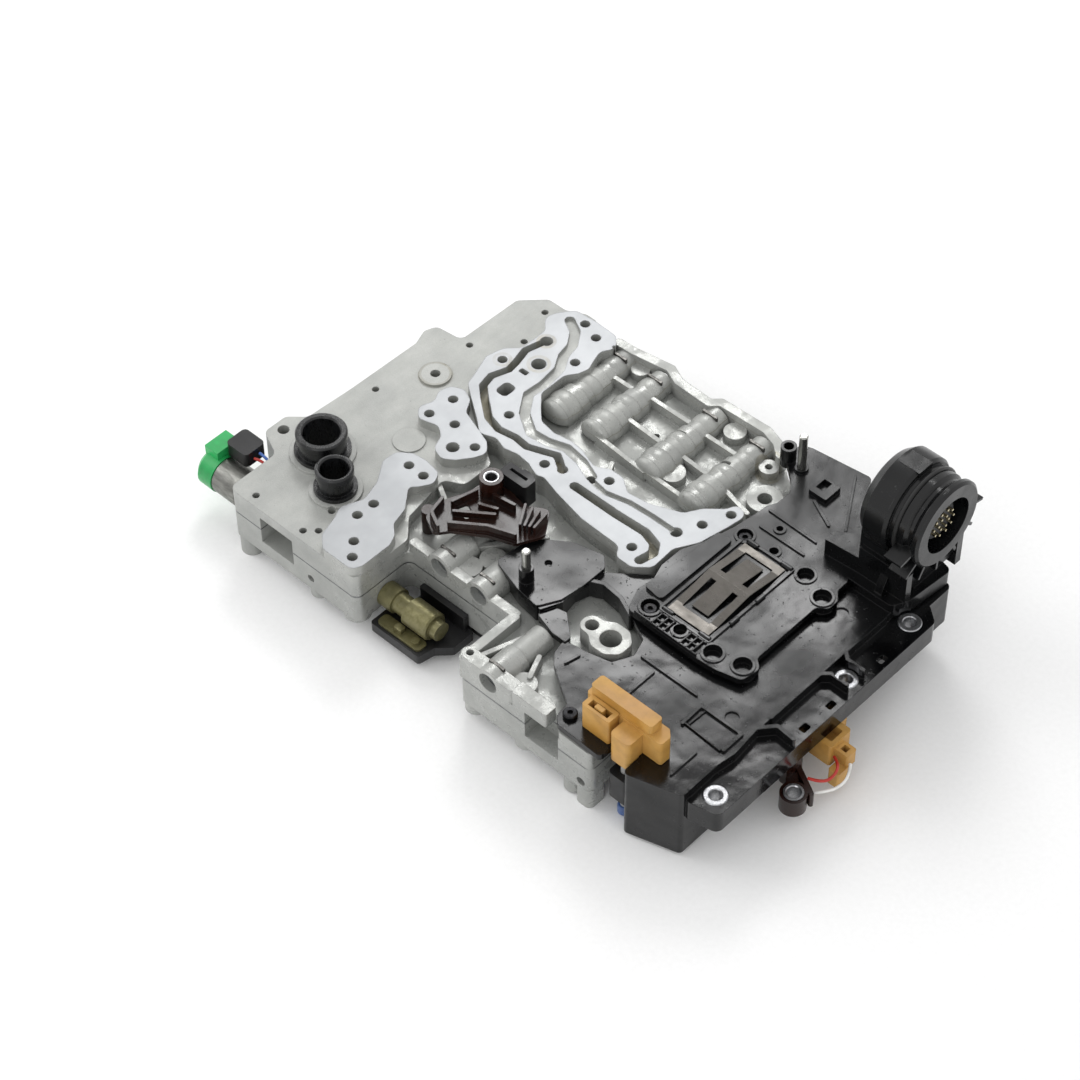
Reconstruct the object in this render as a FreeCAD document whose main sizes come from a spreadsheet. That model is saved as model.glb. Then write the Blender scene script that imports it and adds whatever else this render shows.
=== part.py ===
import FreeCAD, Part
import math
import os
import re

from FreeCAD import Placement, Rotation, Vector

# Driving dimensions in millimetres. X runs along the unit, Y across it, Z up from the surface it stands on.
SIZES = {
    # Casting heights
    "seam_low": 34.0,
    "seam_high": 35.0,
    "underside": 14.0,
    "web_height": 43.0,
    "floor_height": 52.0,
    "land_height": 59.0,
    "rim_height": 55.0,
    "rib_height": 50.5,
    "block_height": 54.0,
    # Casting edges
    "left_face": -171.0,
    "near_face": -129.0,
    "notch_left": -66.0,
    "notch_wall": -87.0,
    "block_left": 15.0,
    "casting_right": 115.0,
    "cast_round": 5.0,
    # Oil channels in the top face
    "deep_channel_width": 5.0,
    "deep_channel_depth": 9.0,
    "shallow_channel_width": 6.5,
    "shallow_channel_depth": 2.5,
    "long_channel_width": 6.0,
    "groove_width": 3.5,
    # Valves
    "far_bore_height": 45.5,
    "near_bore_height": 46.5,
    "far_bore_open": 112.0,
    "bore_radius": 6.5,
    "spool_clearance": 0.05,
    "spool_neck_radius": 3.2,
    "spool_length": 34.0,
    "spool_land_share": 0.2,
    "spring_wire": 0.9,
    "spring_clearance": 0.5,
    "spring_turns": 4.0,
    "plug_length": 6.0,
    "clip_thickness": 1.6,
    "clip_width": 11.0,
    "clip_slot_inset": 7.0,
    "clip_clearance": 0.15,
    # Bolts that hold the two castings together
    "bolt_radius": 3.0,
    "bolt_head_radius": 5.0,
    "bolt_head_height": 5.0,
    "bolt_socket_radius": 2.5,
    "bolt_grip": 26.0,
    "bolt_clearance": 0.2,
    "lug_hole_radius": 3.1,
    "tapped_hole_radius": 2.2,
    "rib_width": 3.0,
    "boss_rise": 6.0,
    "bore_wall": 4.6,
    "window_depth": 12.0,
    # Oil pipes
    "large_pipe_x": -151.5,
    "large_pipe_y": -72.0,
    "large_pipe_rim_radius": 15.5,
    "large_pipe_tube_radius": 14.0,
    "large_pipe_wall": 3.0,
    "large_pipe_height": 16.0,
    "small_pipe_x": -124.0,
    "small_pipe_y": -88.0,
    "small_pipe_rim_radius": 11.5,
    "small_pipe_tube_radius": 10.3,
    "small_pipe_wall": 1.8,
    "small_pipe_height": 17.0,
    "pipe_seat_depth": 8.0,
    "pipe_boss_height": 2.0,
    "pipe_boss_ring": 4.5,
    "pipe_clearance": 0.1,
    # Electronics housing
    "upper_deck": 60.0,
    "lower_deck": 54.0,
    "ledge_height": 48.0,
    "panel_height": 58.0,
    "deck_thickness": 4.0,
    "deck_seat_gap": 0.3,
    "housing_bottom": 20.0,
    "housing_wall": 2.5,
    "housing_left": 118.0,
    "housing_right": 182.0,
    "ledge_right": 192.0,
    "ledge_step": 172.0,
    "skirt_bottom": 33.0,
    "cover_thickness": 2.5,
    "board_thickness": 1.6,
    "board_height": 34.0,
    # Mounting bushings
    "bushing_x": 181.5,
    "bushing_radius": 7.0,
    "bushing_bore": 3.75,
    "bushing_length": 13.0,
    "bushing_rise": 0.6,
    # Plug socket tower
    "socket_y": 89.0,
    "socket_z": 107.0,
    "socket_front": 181.0,
    "tower_back": 138.0,
    "tower_radius": 30.0,
    "collar_radius": 26.5,
    "flange_radius": 27.5,
    "flange_length": 6.0,
    "socket_radius": 18.0,
    "socket_depth": 17.0,
    "insert_radius": 12.8,
    "insert_length": 12.0,
    "pin_radius": 0.75,
    "pin_length": 9.0,
    "oring_wire": 1.3,
    "fin_reach": 10.0,
    # Leaf spring
    "leaf_thickness": 0.6,
    "leaf_rise": 4.0,
    # Steel locating pins
    "front_pin_top": 82.0,
    "far_pin_top": 88.0,
    "front_socket_height": 10.0,
    "locating_pin_radius": 2.6,
    # Sensor bracket on top
    "bracket_top": 68.0,
    "bracket_web": 2.2,
    # Orange sensor plug
    "orange_top": 79.0,
    # Solenoids
    "solenoid_radius": 12.0,
    # Small shared sizes
    "fit_gap": 0.15,
    "relief_depth": 9.0,
    "oil_hole_radius": 1.2,
    "bore_end_wall": 4.0,
    "near_bore_depth": 41.0,
    "plug_inset": 5.0,
    "plug_neck_radius": 4.6,
    "plug_socket_radius": 2.6,
    "clip_height": 11.0,
    "short_spool_length": 20.0,
    "spool_nub_length": 2.0,
    "spool_end_gap": 0.3,
    "spring_gap": 0.3,
    "pipe_flange": 2.5,
    "plateau_rise": 2.0,
    "frame_rise": 1.2,
    "cup_rim": 0.8,
    "cup_wall": 1.8,
    "cup_floor": 56.0,
    "screw_radius": 2.4,
    "screw_head_radius": 4.2,
    "screw_boss_radius": 5.5,
    "screw_post_radius": 4.2,
    "screw_boss_bottom": 49.3,
    "screw_bite": 6.0,
    "pin_ring_radius": 8.6,
    "insert_sleeve_radius": 4.6,
    "insert_sleeve_bore": 3.3,
    "insert_sleeve_length": 10.0,
    "bracket_low": 60.0,
    "cable_radius": 2.6,
    "cable_low": 8.5,
    "arm_x": 198.4,
    "arm_y": -56.0,
    "arm_low": 9.0,
    "arm_height": 12.0,
    "arm_sleeve_radius": 5.8,
    "arm_sleeve_bore": 3.9,
    "arm_wall": 2.0,
    "wire_radius": 0.9,
    "solenoid_nose_radius": 5.0,
    "solenoid_nose_length": 8.0,
    "solenoid_length": 27.0,
    "solenoid_y": -109.0,
    "solenoid_z": 28.0,
    "cap_length": 14.0,
    "gold_radius": 9.0,
    "gold_y": -106.0,
    "gold_z": 22.0,
}

# Places that several pieces share, as (x, y) pairs in millimetres.
FAR_BORES = ((-76.0, 47.0), (-47.5, 52.0), (-3.5, 50.0), (33.0, 47.0))
NEAR_BORES = ((-41.0, "notch_wall"), (-10.0, "notch_wall"), (38.0, "near_face"))
BOLTS = ((-160.0, -105.0), (-150.0, 30.0), (-140.0, 85.0), (-62.0, 40.0), (15.0, 84.0), (52.0, 100.0),
         (-56.0, -50.0), (24.0, -50.0), (104.0, -90.0), (100.0, 40.0))
HOUSING_BUSHINGS = (-102.5, 6.5, 62.5)

# How a solid that is turned about +Y comes to lie along each axis
TURNED_AXES = {"z": Rotation(Vector(1, 0, 0), 90), "x": Rotation(Vector(0, 0, 1), -90), "y": Rotation(),
               "-y": Rotation(Vector(0, 0, 1), 180)}

doc = FreeCAD.newDocument("transmission_mechatronic_unit")
sheet = doc.addObject("Spreadsheet::Sheet", "Sizes")
NODES = []


def fill_sheet():
    """Write every driving dimension in a cell that carries its name as alias."""
    for row, (name, value) in enumerate(SIZES.items(), start=1):
        sheet.set("A%d" % row, name)
        sheet.set("B%d" % row, str(value))
        sheet.setAlias("B%d" % row, name)
    doc.recompute()


def size(name):
    """A driving dimension read back from the sheet."""
    return float(getattr(sheet, name))


def formula(text):
    """An expression with each dimension's name pointing at its cell."""
    return re.sub(r"[a-z][a-z_]{2,}", lambda word: "Sizes." + word.group(0), str(text))


def bind(item, prop, text):
    """Tie a property of a document object to the sheet."""
    item.setExpression(prop, formula(text))


def keep(item, label):
    """Name a finished piece, so that it is written to its own file."""
    item.Label = label
    NODES.append(item)
    return item


# Outlines


def rounded(points, radius):
    """Lines and arcs of a closed outline with each corner rounded as far as its sides allow."""
    corners = [Vector(x, y, 0) for x, y in points]
    count = len(corners)
    geometry = []
    ends = []
    for index in range(count):
        before, here, after = corners[index - 1], corners[index], corners[(index + 1) % count]
        back = (before - here).normalize()
        ahead = (after - here).normalize()
        half = min(back.getAngle(ahead) / 2, math.radians(89))
        reach = min(radius / math.tan(half), here.distanceToPoint(before) / 2,
                    here.distanceToPoint(after) / 2)
        fit = reach * math.tan(half)
        start = here + back * reach
        finish = here + ahead * reach
        middle = here + (back + ahead).normalize() * (fit / math.sin(half) - fit)
        ends.append((start, finish))
        if fit > 0.01 and reach > 0.01:
            geometry.append(Part.Arc(start, middle, finish))
    for index in range(count):
        start = ends[index][1]
        finish = ends[(index + 1) % count][0]
        if start.distanceToPoint(finish) > 0.001:
            geometry.append(Part.LineSegment(start, finish))
    return geometry


def strip(points, width):
    """Closed outline of a band of even width along a path, with round ends."""
    path = [Vector(x, y, 0) for x, y in points]
    left, right = [], []
    last = len(path) - 1
    for index, here in enumerate(path):
        back = (here - path[index - 1]).normalize() if index else (path[1] - here).normalize()
        ahead = (path[index + 1] - here).normalize() if index < last else back
        along = (back + ahead).normalize()
        side = Vector(-along.y, along.x, 0)
        reach = width / 2 / max(along.dot(ahead), 0.5)
        shift = Vector(0, 0, 0)
        if index == 0:
            shift = along * (-width / 2)
        if index == last:
            shift = along * (width / 2)
        left.append(here + side * reach + shift)
        right.append(here - side * reach + shift)
    outline = left + right[::-1]
    return rounded([(p.x, p.y) for p in outline], width / 2)


def circle(x, y, radius):
    """Outline of a round hole or boss."""
    return [Part.Circle(Vector(x, y, 0), Vector(0, 0, 1), radius)]


def rectangle(left, near, right, far, radius=0.0):
    """Outline of a rectangle with rounded corners."""
    points = ((left, near), (right, near), (right, far), (left, far))
    if radius:
        return rounded(points, radius)
    corners = [Vector(x, y, 0) for x, y in points]
    return [Part.LineSegment(corners[i - 1], corners[i]) for i in range(4)]


# Features of a part design body


def new_body(name):
    """An empty body for one cast or moulded piece."""
    return doc.addObject("PartDesign::Body", name)


def level_sketch(body, name, height, outlines):
    """A sketch that lies level at a height and holds closed outlines."""
    sketch = body.newObject("Sketcher::SketchObject", name + "_sketch")
    plane = [item for item in body.Origin.OriginFeatures if item.Role == "XY_Plane"][0]
    sketch.AttachmentSupport = [(plane, "")]
    sketch.MapMode = "FlatFace"
    bind(sketch, "AttachmentOffset.Base.z", height)
    for outline in outlines:
        sketch.addGeometry(outline, False)
    return sketch


def pad(body, name, outlines, bottom, top):
    """Add metal or plastic between two heights."""
    feature = body.newObject("PartDesign::Pad", name)
    feature.Profile = level_sketch(body, name, bottom, outlines)
    bind(feature, "Length", "%s - (%s)" % (top, bottom))
    return feature


def pocket(body, name, outlines, top, depth):
    """Cut down from a height."""
    feature = body.newObject("PartDesign::Pocket", name)
    feature.Profile = level_sketch(body, name, top, outlines)
    bind(feature, "Length", depth)
    return feature


def place(item, x, y, z, axis="z"):
    """Bind a primitive's place to the sheet and lay it along an axis."""
    turns = {"z": Rotation(), "y": Rotation(Vector(1, 0, 0), -90), "-y": Rotation(Vector(1, 0, 0), 90),
             "x": Rotation(Vector(0, 1, 0), 90)}
    item.Placement = Placement(Vector(0, 0, 0), turns[axis])
    bind(item, "Placement.Base.x", x)
    bind(item, "Placement.Base.y", y)
    bind(item, "Placement.Base.z", z)
    return item


# Simple solids


def cylinder(name, radius, length, x, y, z, axis="z"):
    """A bound cylinder."""
    item = doc.addObject("Part::Cylinder", name)
    bind(item, "Radius", radius)
    bind(item, "Height", length)
    return place(item, x, y, z, axis)


def box(name, length, width, height, x, y, z):
    """A bound box."""
    item = doc.addObject("Part::Box", name)
    bind(item, "Length", length)
    bind(item, "Width", width)
    bind(item, "Height", height)
    return place(item, x, y, z)


def raised(name, outlines, bottom, top):
    """Level outlines made solid between two heights."""
    sketch = doc.addObject("Sketcher::SketchObject", name + "_sketch")
    bind(sketch, "Placement.Base.z", bottom)
    for outline in outlines:
        sketch.addGeometry(outline, False)
    item = doc.addObject("Part::Extrusion", name)
    item.Base = sketch
    item.DirMode = "Normal"
    item.Solid = True
    bind(item, "LengthFwd", "%s - (%s)" % (top, bottom))
    return item


def upright(name, points, x, thickness):
    """A profile in the (Y, Z) plane, given thickness along +X from a place."""
    corners = [Vector(0, y, z) for y, z in points]
    wire = doc.addObject("Part::Feature", name + "_profile")
    wire.Shape = Part.makePolygon(corners + corners[:1])
    item = doc.addObject("Part::Extrusion", name)
    item.Base = wire
    item.DirMode = "Custom"
    item.Dir = Vector(1, 0, 0)
    item.Solid = True
    bind(item, "LengthFwd", thickness)
    bind(item, "Placement.Base.x", x)
    return item


def turned(name, profile, x, y, z, axis="z"):
    """A turned solid from its half section, given as (radius, place along the axis) pairs."""
    corners = [Vector(radius, along, 0) for radius, along in profile]
    sketch = doc.addObject("Sketcher::SketchObject", name + "_sketch")
    sketch.addGeometry([Part.LineSegment(corners[i - 1], corners[i]) for i in range(len(corners))], False)
    item = doc.addObject("Part::Revolution", name)
    item.Source = sketch
    item.Axis = Vector(0, 1, 0)
    item.Solid = True
    place(item, x, y, z)
    item.Placement = Placement(Vector(0, 0, 0), TURNED_AXES[axis])
    return item


def fused(name, pieces):
    """Several solids as one piece, or as a group of like pieces that stand apart."""
    item = doc.addObject("Part::MultiFuse", name)
    item.Shapes = pieces
    return item


def cut(name, base, tools):
    """A solid with others cut from it."""
    item = doc.addObject("Part::Cut", name)
    item.Base = base
    item.Tool = tools[0] if len(tools) == 1 else fused(name + "_tools", tools)
    return item


# Outlines that the castings share


def casting_outline():
    """Plan of the castings: straight near side with a notch, ears and steps on the far side."""
    left, near = size("left_face"), size("near_face")
    notch, wall = size("notch_left"), size("notch_wall")
    block, right = size("block_left"), size("casting_right")
    points = [(left, near), (left, -92), (left - 18, -84), (left - 18, -67), (left - 8, -58),
              (left - 6, -25), (left - 5, 30), (left - 9, 41), (left - 6, 49), (left + 13, 51),
              (left + 14, 99), (left + 28, 113), (-129, 113), (-117, 119), (-104, 119), (-90, 116),
              (-80, 116), (-48, 120.5), (-42, 120), (-34, 115), (-11, 114), (-6, 119), (31, 120), (44, 116),
              (58, 104), (right - 10, 84), (right, 74), (right, near), (block, near), (block, wall),
              (notch, wall), (notch, near)]
    return points[::-1]


def main_land_outline():
    """Edge of the machined sealing land that winds from the far side to the middle."""
    return [(-126, 103), (-119, 112), (-104, 113), (-86, 112), (-79, 104), (-84, 95), (-82, 88), (-79, 80),
            (-81, 73), (-86, 66), (-86, 46), (-78, 37), (-70, 29), (-58, 27), (-46, 29), (-36, 28),
            (-22, 23), (-14, 28), (-4, 28), (6, 21), (21, 23), (40, 31), (46, 41), (56, 50), (59, 57),
            (68, 54), (66, 40), (62, 20), (54, 6), (55, -12), (46, -20), (34, -20), (30, -13), (0, -12),
            (-24, -7), (-38, -3), (-42, -5), (-52, -1), (-62, 0), (-71, -2), (-80, 1), (-90, -3), (-100, 5),
            (-113, 14), (-124, 22), (-127, 32), (-132, 46), (-129, 58), (-121, 66), (-121, 86), (-129, 95)]


def near_pad_outline():
    """Edge of the machined land at the near left corner."""
    near, notch = size("near_face"), size("notch_left")
    return [(-116, -57), (-115, -47), (-107, -41), (-97, -40), (-85, -42), (-81, -50), (-86, -58),
            (-90, -62), (-79, -76), (-76, -88), (-69, -94), (notch, -101), (notch, near + 6),
            (notch - 3, near), (-92, near), (-100, -122), (-104, -108), (-108, -100), (-102, -86),
            (-106, -72)]


def middle_pad_outline():
    """Edge of the small machined land between the near corner and the winding one."""
    return [(-132, 5), (-130, 13), (-122, 17), (-113, 13), (-108, 4), (-96, 0), (-82, -5), (-75, -12),
            (-79, -20), (-85, -28), (-92, -33), (-101, -30), (-105, -20), (-112, -15), (-125, -19),
            (-132, -12), (-128, -2)]


DEEP_CHANNEL = ((-114, 81), (-118, 66), (-115, 54), (-114, 47), (-118, 36), (-116, 27), (-108, 20),
                (-95, 10), (-84, 7), (-72, 9), (-62, 8), (-54, 11), (-44, 15), (-34, 8.5))
SHALLOW_CHANNEL = ((-116, 103), (-107, 98), (-100, 88), (-98, 78), (-92, 68), (-90, 52), (-91, 40),
                   (-82, 27), (-68, 18), (-56, 19), (-44, 23), (-30, 21), (-18, 16))
LONG_CHANNEL = ((-20, 4), (12, 4), (34, 5), (44, 2), (48, -4), (46, -13))
GROOVE = ((-16, 14), (-4, 12), (12, 16), (28, 17), (46, 17))
LUG_HOLES = ((-107, 107), (-94, 102.5), (-88.8, 78.4), (-122.7, 50.6), (-87.6, 19.7), (-44.8, 4.9),
             (-8, 20.5), (36, -8.6), (54, 31.4), (61.2, 48.4), (-102, -49.6), (-90, -49.8), (-95.4, -85),
             (-96, -97.5), (-83, -113), (-75, -122), (-121, 6.4), (-123, -11.6), (-105.7, -7.7), (-84, -13))
FLOOR_HOLES = ((-137, 103), (-128.7, 75.7), (-151, 51), (-166, -14.4), (-155, -122.6), (-108.4, -117),
               (-115, -123), (-113.8, -101.3), (46.6, 99.4), (20, -124))


def upper_valve_body():
    """Upper casting: machined lands, channels, valve bores that show as ribs, and the pipe seats."""
    near, notch, wall = size("near_face"), size("notch_left"), size("notch_wall")
    block, right = size("block_left"), size("casting_right")
    corner = size("cast_round")
    outline = casting_outline()
    far_left = [
        point for point in outline
        if point[0] < -104 and point[1] > -60 or point[0] < size("left_face") + 1
    ]
    slab = [(notch, near), (notch, wall), (-78, -74), (-84, -40), (-72, -34), (-72, -12), (-88, -2),
            (-108, 14), (-120, 36), (-116, 100), (-104, 118.9)] + far_left
    rim = ((-84, 112.5), (-72, 113), (-46, 117), (-35, 112), (-10, 111), (-5, 116), (30, 117), (42, 113),
           (49, 107))
    eight = [(49.5, -65), (53, -71), (60, -71), (66, -76), (76, -76), (83, -70), (83, -60), (76, -54),
             (66, -54), (60, -58), (53, -58)]
    lands = [rounded(main_land_outline(), 6), rounded(near_pad_outline(), 6),
             rounded(middle_pad_outline(), 6)]
    pieces = [
        raised("web", [rounded(outline, corner)], "seam_high", "web_height"),
        raised("floor", [rounded(slab, corner)], "seam_high", "floor_height"),
        raised("lands", lands, "seam_high", "land_height"),
        raised("rim", [strip(rim, 6)], "seam_high", "rim_height"),
        raised("block_front", [rectangle(block, near, 58, near + 9, corner)], "seam_high", "block_height"),
        raised("block_side", [rectangle(block, near, block + 6, wall + 3, 2)], "seam_high",
               "block_height - 3"),
        raised("block_pad", [rectangle(56, near, 82, near + 9, 1.5)], "seam_high", "block_height + 1"),
        raised("block_end", [rectangle(90, near, right, near + 16, 3)], "seam_high",
               "screw_boss_bottom - deck_seat_gap"),
        raised("back_wall", [rectangle(notch, wall, block + 4, wall + 6, 2)], "seam_high",
               "floor_height - 2"),
        raised("drain_land", [rounded(eight, 6)], "seam_high", "land_height - 3"),
        raised("disc_boss", [circle(-121, -31, 10)], "seam_high", "floor_height + 0.8"),
        raised("ring_boss", [circle(-148, 18.5, 10)], "seam_high", "floor_height + 1.5"),
    ]
    ribs = (((-76, 92), (-47, 92)), ((-47, 94), (-4, 94)), ((-4, 93), (33, 93)), ((-46, 72), (-5, 70)),
            ((-2, 71), (33, 69)), ((33, 69), (62, 62)), ((-44, 49), (-4, 46)), ((-1, 47), (33, 46)),
            ((-22, 38), (-15, 25)), ((-34, -62), (-10, -30)), ((-88, -41), (-68, -52)),
            ((-80, -12), (-60, -30)), ((24, -118), (34, -88)), ((48, -98), (54, -112)),
            ((-62, 10), (-40, -30)))
    for index, rib in enumerate(ribs):
        pieces.append(raised("rib_%d" % index, [strip(rib, size("rib_width"))], "seam_high", "rib_height"))
    bosses = ((-63, 109, 6), (13, 108, 7), (8, 58, 8), (61.4, 78.5, 11), (46.6, 99.4, 6),
              (-22, -62, 8), (-28, -76, 8), (20, -123.8, 5), (54, -117, 8))
    for index, (x, y, radius) in enumerate(bosses):
        pieces.append(cylinder("boss_%d" % index, radius, "web_height + boss_rise - seam_high", x, y,
                               "seam_high"))
    for pipe in ("large_pipe", "small_pipe"):
        pieces.append(cylinder(pipe + "_boss", "%s_rim_radius + pipe_boss_ring" % pipe,
                               "floor_height + pipe_boss_height - seam_high", pipe + "_x", pipe + "_y",
                               "seam_high"))

    for index, (x, y, _) in enumerate(HOUSING_SCREWS[1:]):
        pieces.append(cylinder("screw_post_%d" % index, "screw_post_radius",
                               "lower_deck - deck_seat_gap - seam_high", x, y, "seam_high"))

    # Outer walls of the bores step down towards their open ends
    for index, (x, y) in enumerate(FAR_BORES):
        reach = size("far_bore_open") - y
        for step, share in enumerate((0.3, 0.62, 1.0)):
            pieces.append(cylinder("far_wall_%d_%d" % (index, step),
                                   "bore_radius + bore_wall - %s" % (1.3 * step),
                                   reach * share, x, y, "far_bore_height", "y"))
    for index, (x, face) in enumerate(NEAR_BORES):
        pieces.append(cylinder("near_wall_%d" % index, "bore_radius + 3", 24, x, face, "near_bore_height",
                               "y"))
        pieces.append(cylinder("near_end_%d" % index, "bore_radius + 1.8",
                               "near_bore_depth + bore_end_wall", x, face, "near_bore_height", "y"))
    casting = fused("upper_casting", pieces)

    tools = [box("under_seam", 500, 400, 30, -260, -200, "seam_high - 30")]
    top = "land_height + 1"
    tools.append(raised("deep_channel", [strip(DEEP_CHANNEL, size("deep_channel_width"))],
                        "land_height - deep_channel_depth", top))
    tools.append(raised("long_channel", [strip(LONG_CHANNEL, size("long_channel_width"))],
                        "land_height - deep_channel_depth", top))
    tools.append(raised("shallow_channel", [strip(SHALLOW_CHANNEL, size("shallow_channel_width"))],
                        "land_height - shallow_channel_depth", top))
    tools.append(raised("groove", [strip(GROOVE, size("groove_width"))],
                        "land_height - shallow_channel_depth", top))
    for index, (x, y) in enumerate(LUG_HOLES):
        tools.append(cylinder("lug_hole_%d" % index, "lug_hole_radius", 40, x, y, "seam_high + 6"))
    wells = ((-104, 62.6, 4.6), (-114, 80, 4), (-34, 8.7, 3.2), (-17.8, 15.6, 3), (47, 17, 3.6),
             (-93.5, -21.9, 4), (57, -64.7, 4), (71.4, -65, 6.4), (-148, 18.5, 3.1), (61.4, 78.5, 4.4),
             (-182, -75.2, 3.6), (-22, 77.5, 2))
    for index, (x, y, radius) in enumerate(wells):
        tools.append(cylinder("well_%d" % index, radius, 40, x, y, "seam_high + 3"))
    slots = [rectangle(-108, 28.5, -99.5, 39, 3), rectangle(-109, 50, -103, 53.5, 1),
             strip(((-9, 81), (-4, 81)), 3), strip(((26, 81), (31, 81)), 3)]
    tools.append(raised("slots", slots, "seam_high + 3", top))
    for index, (x, y) in enumerate(FLOOR_HOLES):
        tools.append(cylinder("tapped_hole_%d" % index, "tapped_hole_radius", 40, x, y, "seam_high + 4"))
    for pipe in ("large_pipe", "small_pipe"):
        tools.append(cylinder(pipe + "_seat", pipe + "_tube_radius + pipe_clearance", 40, pipe + "_x",
                              pipe + "_y", "floor_height + pipe_boss_height - pipe_seat_depth"))
    tools += windows("upper", "seam_high - 1", 10.5)

    for index, (x, y, deck) in enumerate(HOUSING_SCREWS):
        tools.append(cylinder("screw_thread_%d" % index, "screw_radius + fit_gap", 40, x, y,
                              "screw_boss_bottom - screw_bite - 1"))

    # Valve bores, the slots of their retaining clips, and the bolt holes
    for index, (x, y) in enumerate(FAR_BORES):
        tools.append(cylinder("far_bore_%d" % index, "bore_radius", 90, x, "%s + bore_end_wall" % y,
                              "far_bore_height", "y"))
        tools.append(clip_slot("far_slot_%d" % index, x, "far_bore_open - clip_slot_inset - clip_thickness",
                               "far_bore_height"))
    for index, (x, face) in enumerate(NEAR_BORES):
        tools.append(cylinder("near_bore_%d" % index, "bore_radius", "near_bore_depth + 1", x,
                              "%s - 1" % face, "near_bore_height", "y"))
        tools.append(clip_slot("near_slot_%d" % index, x, "%s + clip_slot_inset" % face,
                               "near_bore_height"))
    for index, (x, y) in enumerate(BOLTS):
        tools.append(cylinder("thread_%d" % index, "bolt_radius + fit_gap",
                              "underside + bolt_grip - seam_high + 2", x, y,
                              "seam_high - 1"))
    return keep(cut("upper_valve_body", casting, tools), "upper_valve_body")


def clip_slot(name, x, y, height):
    """The slot that a plug's retaining clip drops into."""
    return box(name, "clip_width + 2 * clip_clearance", "clip_thickness + 2 * clip_clearance", 20,
               "%s - clip_width / 2 - clip_clearance" % x, "%s - clip_clearance" % y, "%s - 2" % height)


def windows(name, bottom, height):
    """The two cast windows of the near face, as solids to cut."""
    near = size("near_face")
    return [box("%s_window_%d" % (name, index), right - left, "window_depth + 1", height, left, near - 1,
                bottom)
            for index, (left, right) in enumerate(((-146, -119), (66, 91)))]


def lower_valve_body():
    """Lower casting, with feet, bolt faces and relief pockets underneath."""
    near, wall = size("near_face"), size("notch_wall")
    left, right, block = size("left_face"), size("casting_right"), size("block_left")
    pieces = [raised("lower_plate", [rounded(casting_outline(), size("cast_round"))], "underside",
                     "seam_low"),
              raised("right_leg", [rectangle(right - 12, near, right, near + 14, 4)], 0, "underside + 1")]
    feet = ((left + 7, near + 7, 7, 0), (-104, near + 6, 6, 8), (-75, near + 8, 8, 10),
            (block + 7, near + 7, 7, 7), (61, near + 7, 7, 9), (97, near + 7, 6, 1), (-150, 104, 7, 0),
            (-22, 106, 7, 0), (right - 12, 66, 8, 0))
    for index, (x, y, radius, low) in enumerate(feet):
        pieces.append(cylinder("foot_%d" % index, radius, "underside + 1 - %s" % low, x, y, low))
    reliefs = [rectangle(-160, -92, -95, -42, 6), rectangle(-160, -18, -100, 20, 6),
               rectangle(-120, 50, -72, 100, 6), rectangle(-15, 20, 45, 70, 6),
               rectangle(-45, -60, 8, -12, 6), rectangle(35, -70, 92, -20, 6)]
    tools = [raised("reliefs", reliefs, "underside - 1", "underside + relief_depth"),
             cylinder("side_hole_0", 2.6, 12, -105, near - 1, 23, "y"),
             cylinder("side_hole_1", 3.0, 12, 108, near - 1, 20, "y"),
             cylinder("solenoid_bore", "solenoid_nose_radius + fit_gap", "solenoid_nose_length + 1.5",
                      "left_face - 1", "solenoid_y", "solenoid_z", "x")]
    tools += windows("lower", "seam_low - 10", 11)
    for index, (x, y) in enumerate(BOLTS):
        tools.append(cylinder("bolt_hole_%d" % index, "bolt_radius + bolt_clearance", 60, x, y, -1))
    return keep(cut("lower_valve_body", fused("lower_casting", pieces), tools), "lower_valve_body")


def separator_plate():
    """Steel plate between the castings, with its oil holes."""
    body = new_body("separator_plate")
    pad(body, "sheet", [rounded(casting_outline(), size("cast_round"))], "seam_low", "seam_high")
    holes = [circle(x, y, size("bolt_radius") + size("bolt_clearance")) for x, y in BOLTS]
    holes += [circle(x, y, size("oil_hole_radius"))
              for x, y in ((-120, -70), (-60, 60), (20, 60), (0, -40), (60, -20), (-100, 90))]
    pocket(body, "holes", holes, "seam_high", "2 * (seam_high - seam_low)")
    near = size("near_face")
    openings = [rectangle(left, near - 1, right, near + size("window_depth"))
                for left, right in ((-146, -119), (66, 91))]
    pocket(body, "windows", openings, "seam_high", "2 * (seam_high - seam_low)")
    return keep(body, "separator_plate")


def body_bolts():
    """Socket head bolts that clamp the lower casting to the upper one."""
    bolts = []
    for index, (x, y) in enumerate(BOLTS):
        head, shank = size("bolt_head_height"), size("bolt_grip")
        outer, inner, key = size("bolt_head_radius"), size("bolt_radius"), size("bolt_socket_radius")
        profile = [(0, 3), (key, 3), (key, 0), (outer, 0), (outer, head), (inner, head),
                   (inner, head + shank), (0, head + shank)]
        bolts.append(turned("bolt_%d" % index, profile, x, y, "underside - bolt_head_height"))
    return keep(fused("body_bolts", bolts), "body_bolts")


# Oil pipes


def oil_pipe(name):
    """A plastic oil pipe with a stepped rim, standing in its seat in the upper casting."""
    rim, tube, wall = size(name + "_rim_radius"), size(name + "_tube_radius"), size(name + "_wall")
    height, depth = size(name + "_height"), size("pipe_seat_depth") - size("deck_seat_gap")
    flange = size("pipe_flange")
    bore = tube - wall
    profile = [(bore, 0), (tube, 0), (tube, depth), (rim + 1.5, depth), (rim + 1.5, depth + flange),
               (rim - 1, depth + flange), (rim - 1, depth + height - 6), (rim, depth + height - 5),
               (rim, depth + height - 1), (rim - 1, depth + height), (bore + 1, depth + height),
               (bore, depth + height - 1)]
    bottom = "floor_height + pipe_boss_height - pipe_seat_depth + deck_seat_gap"
    return keep(turned(name, profile, name + "_x", name + "_y", bottom), name)


# Valves


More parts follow.
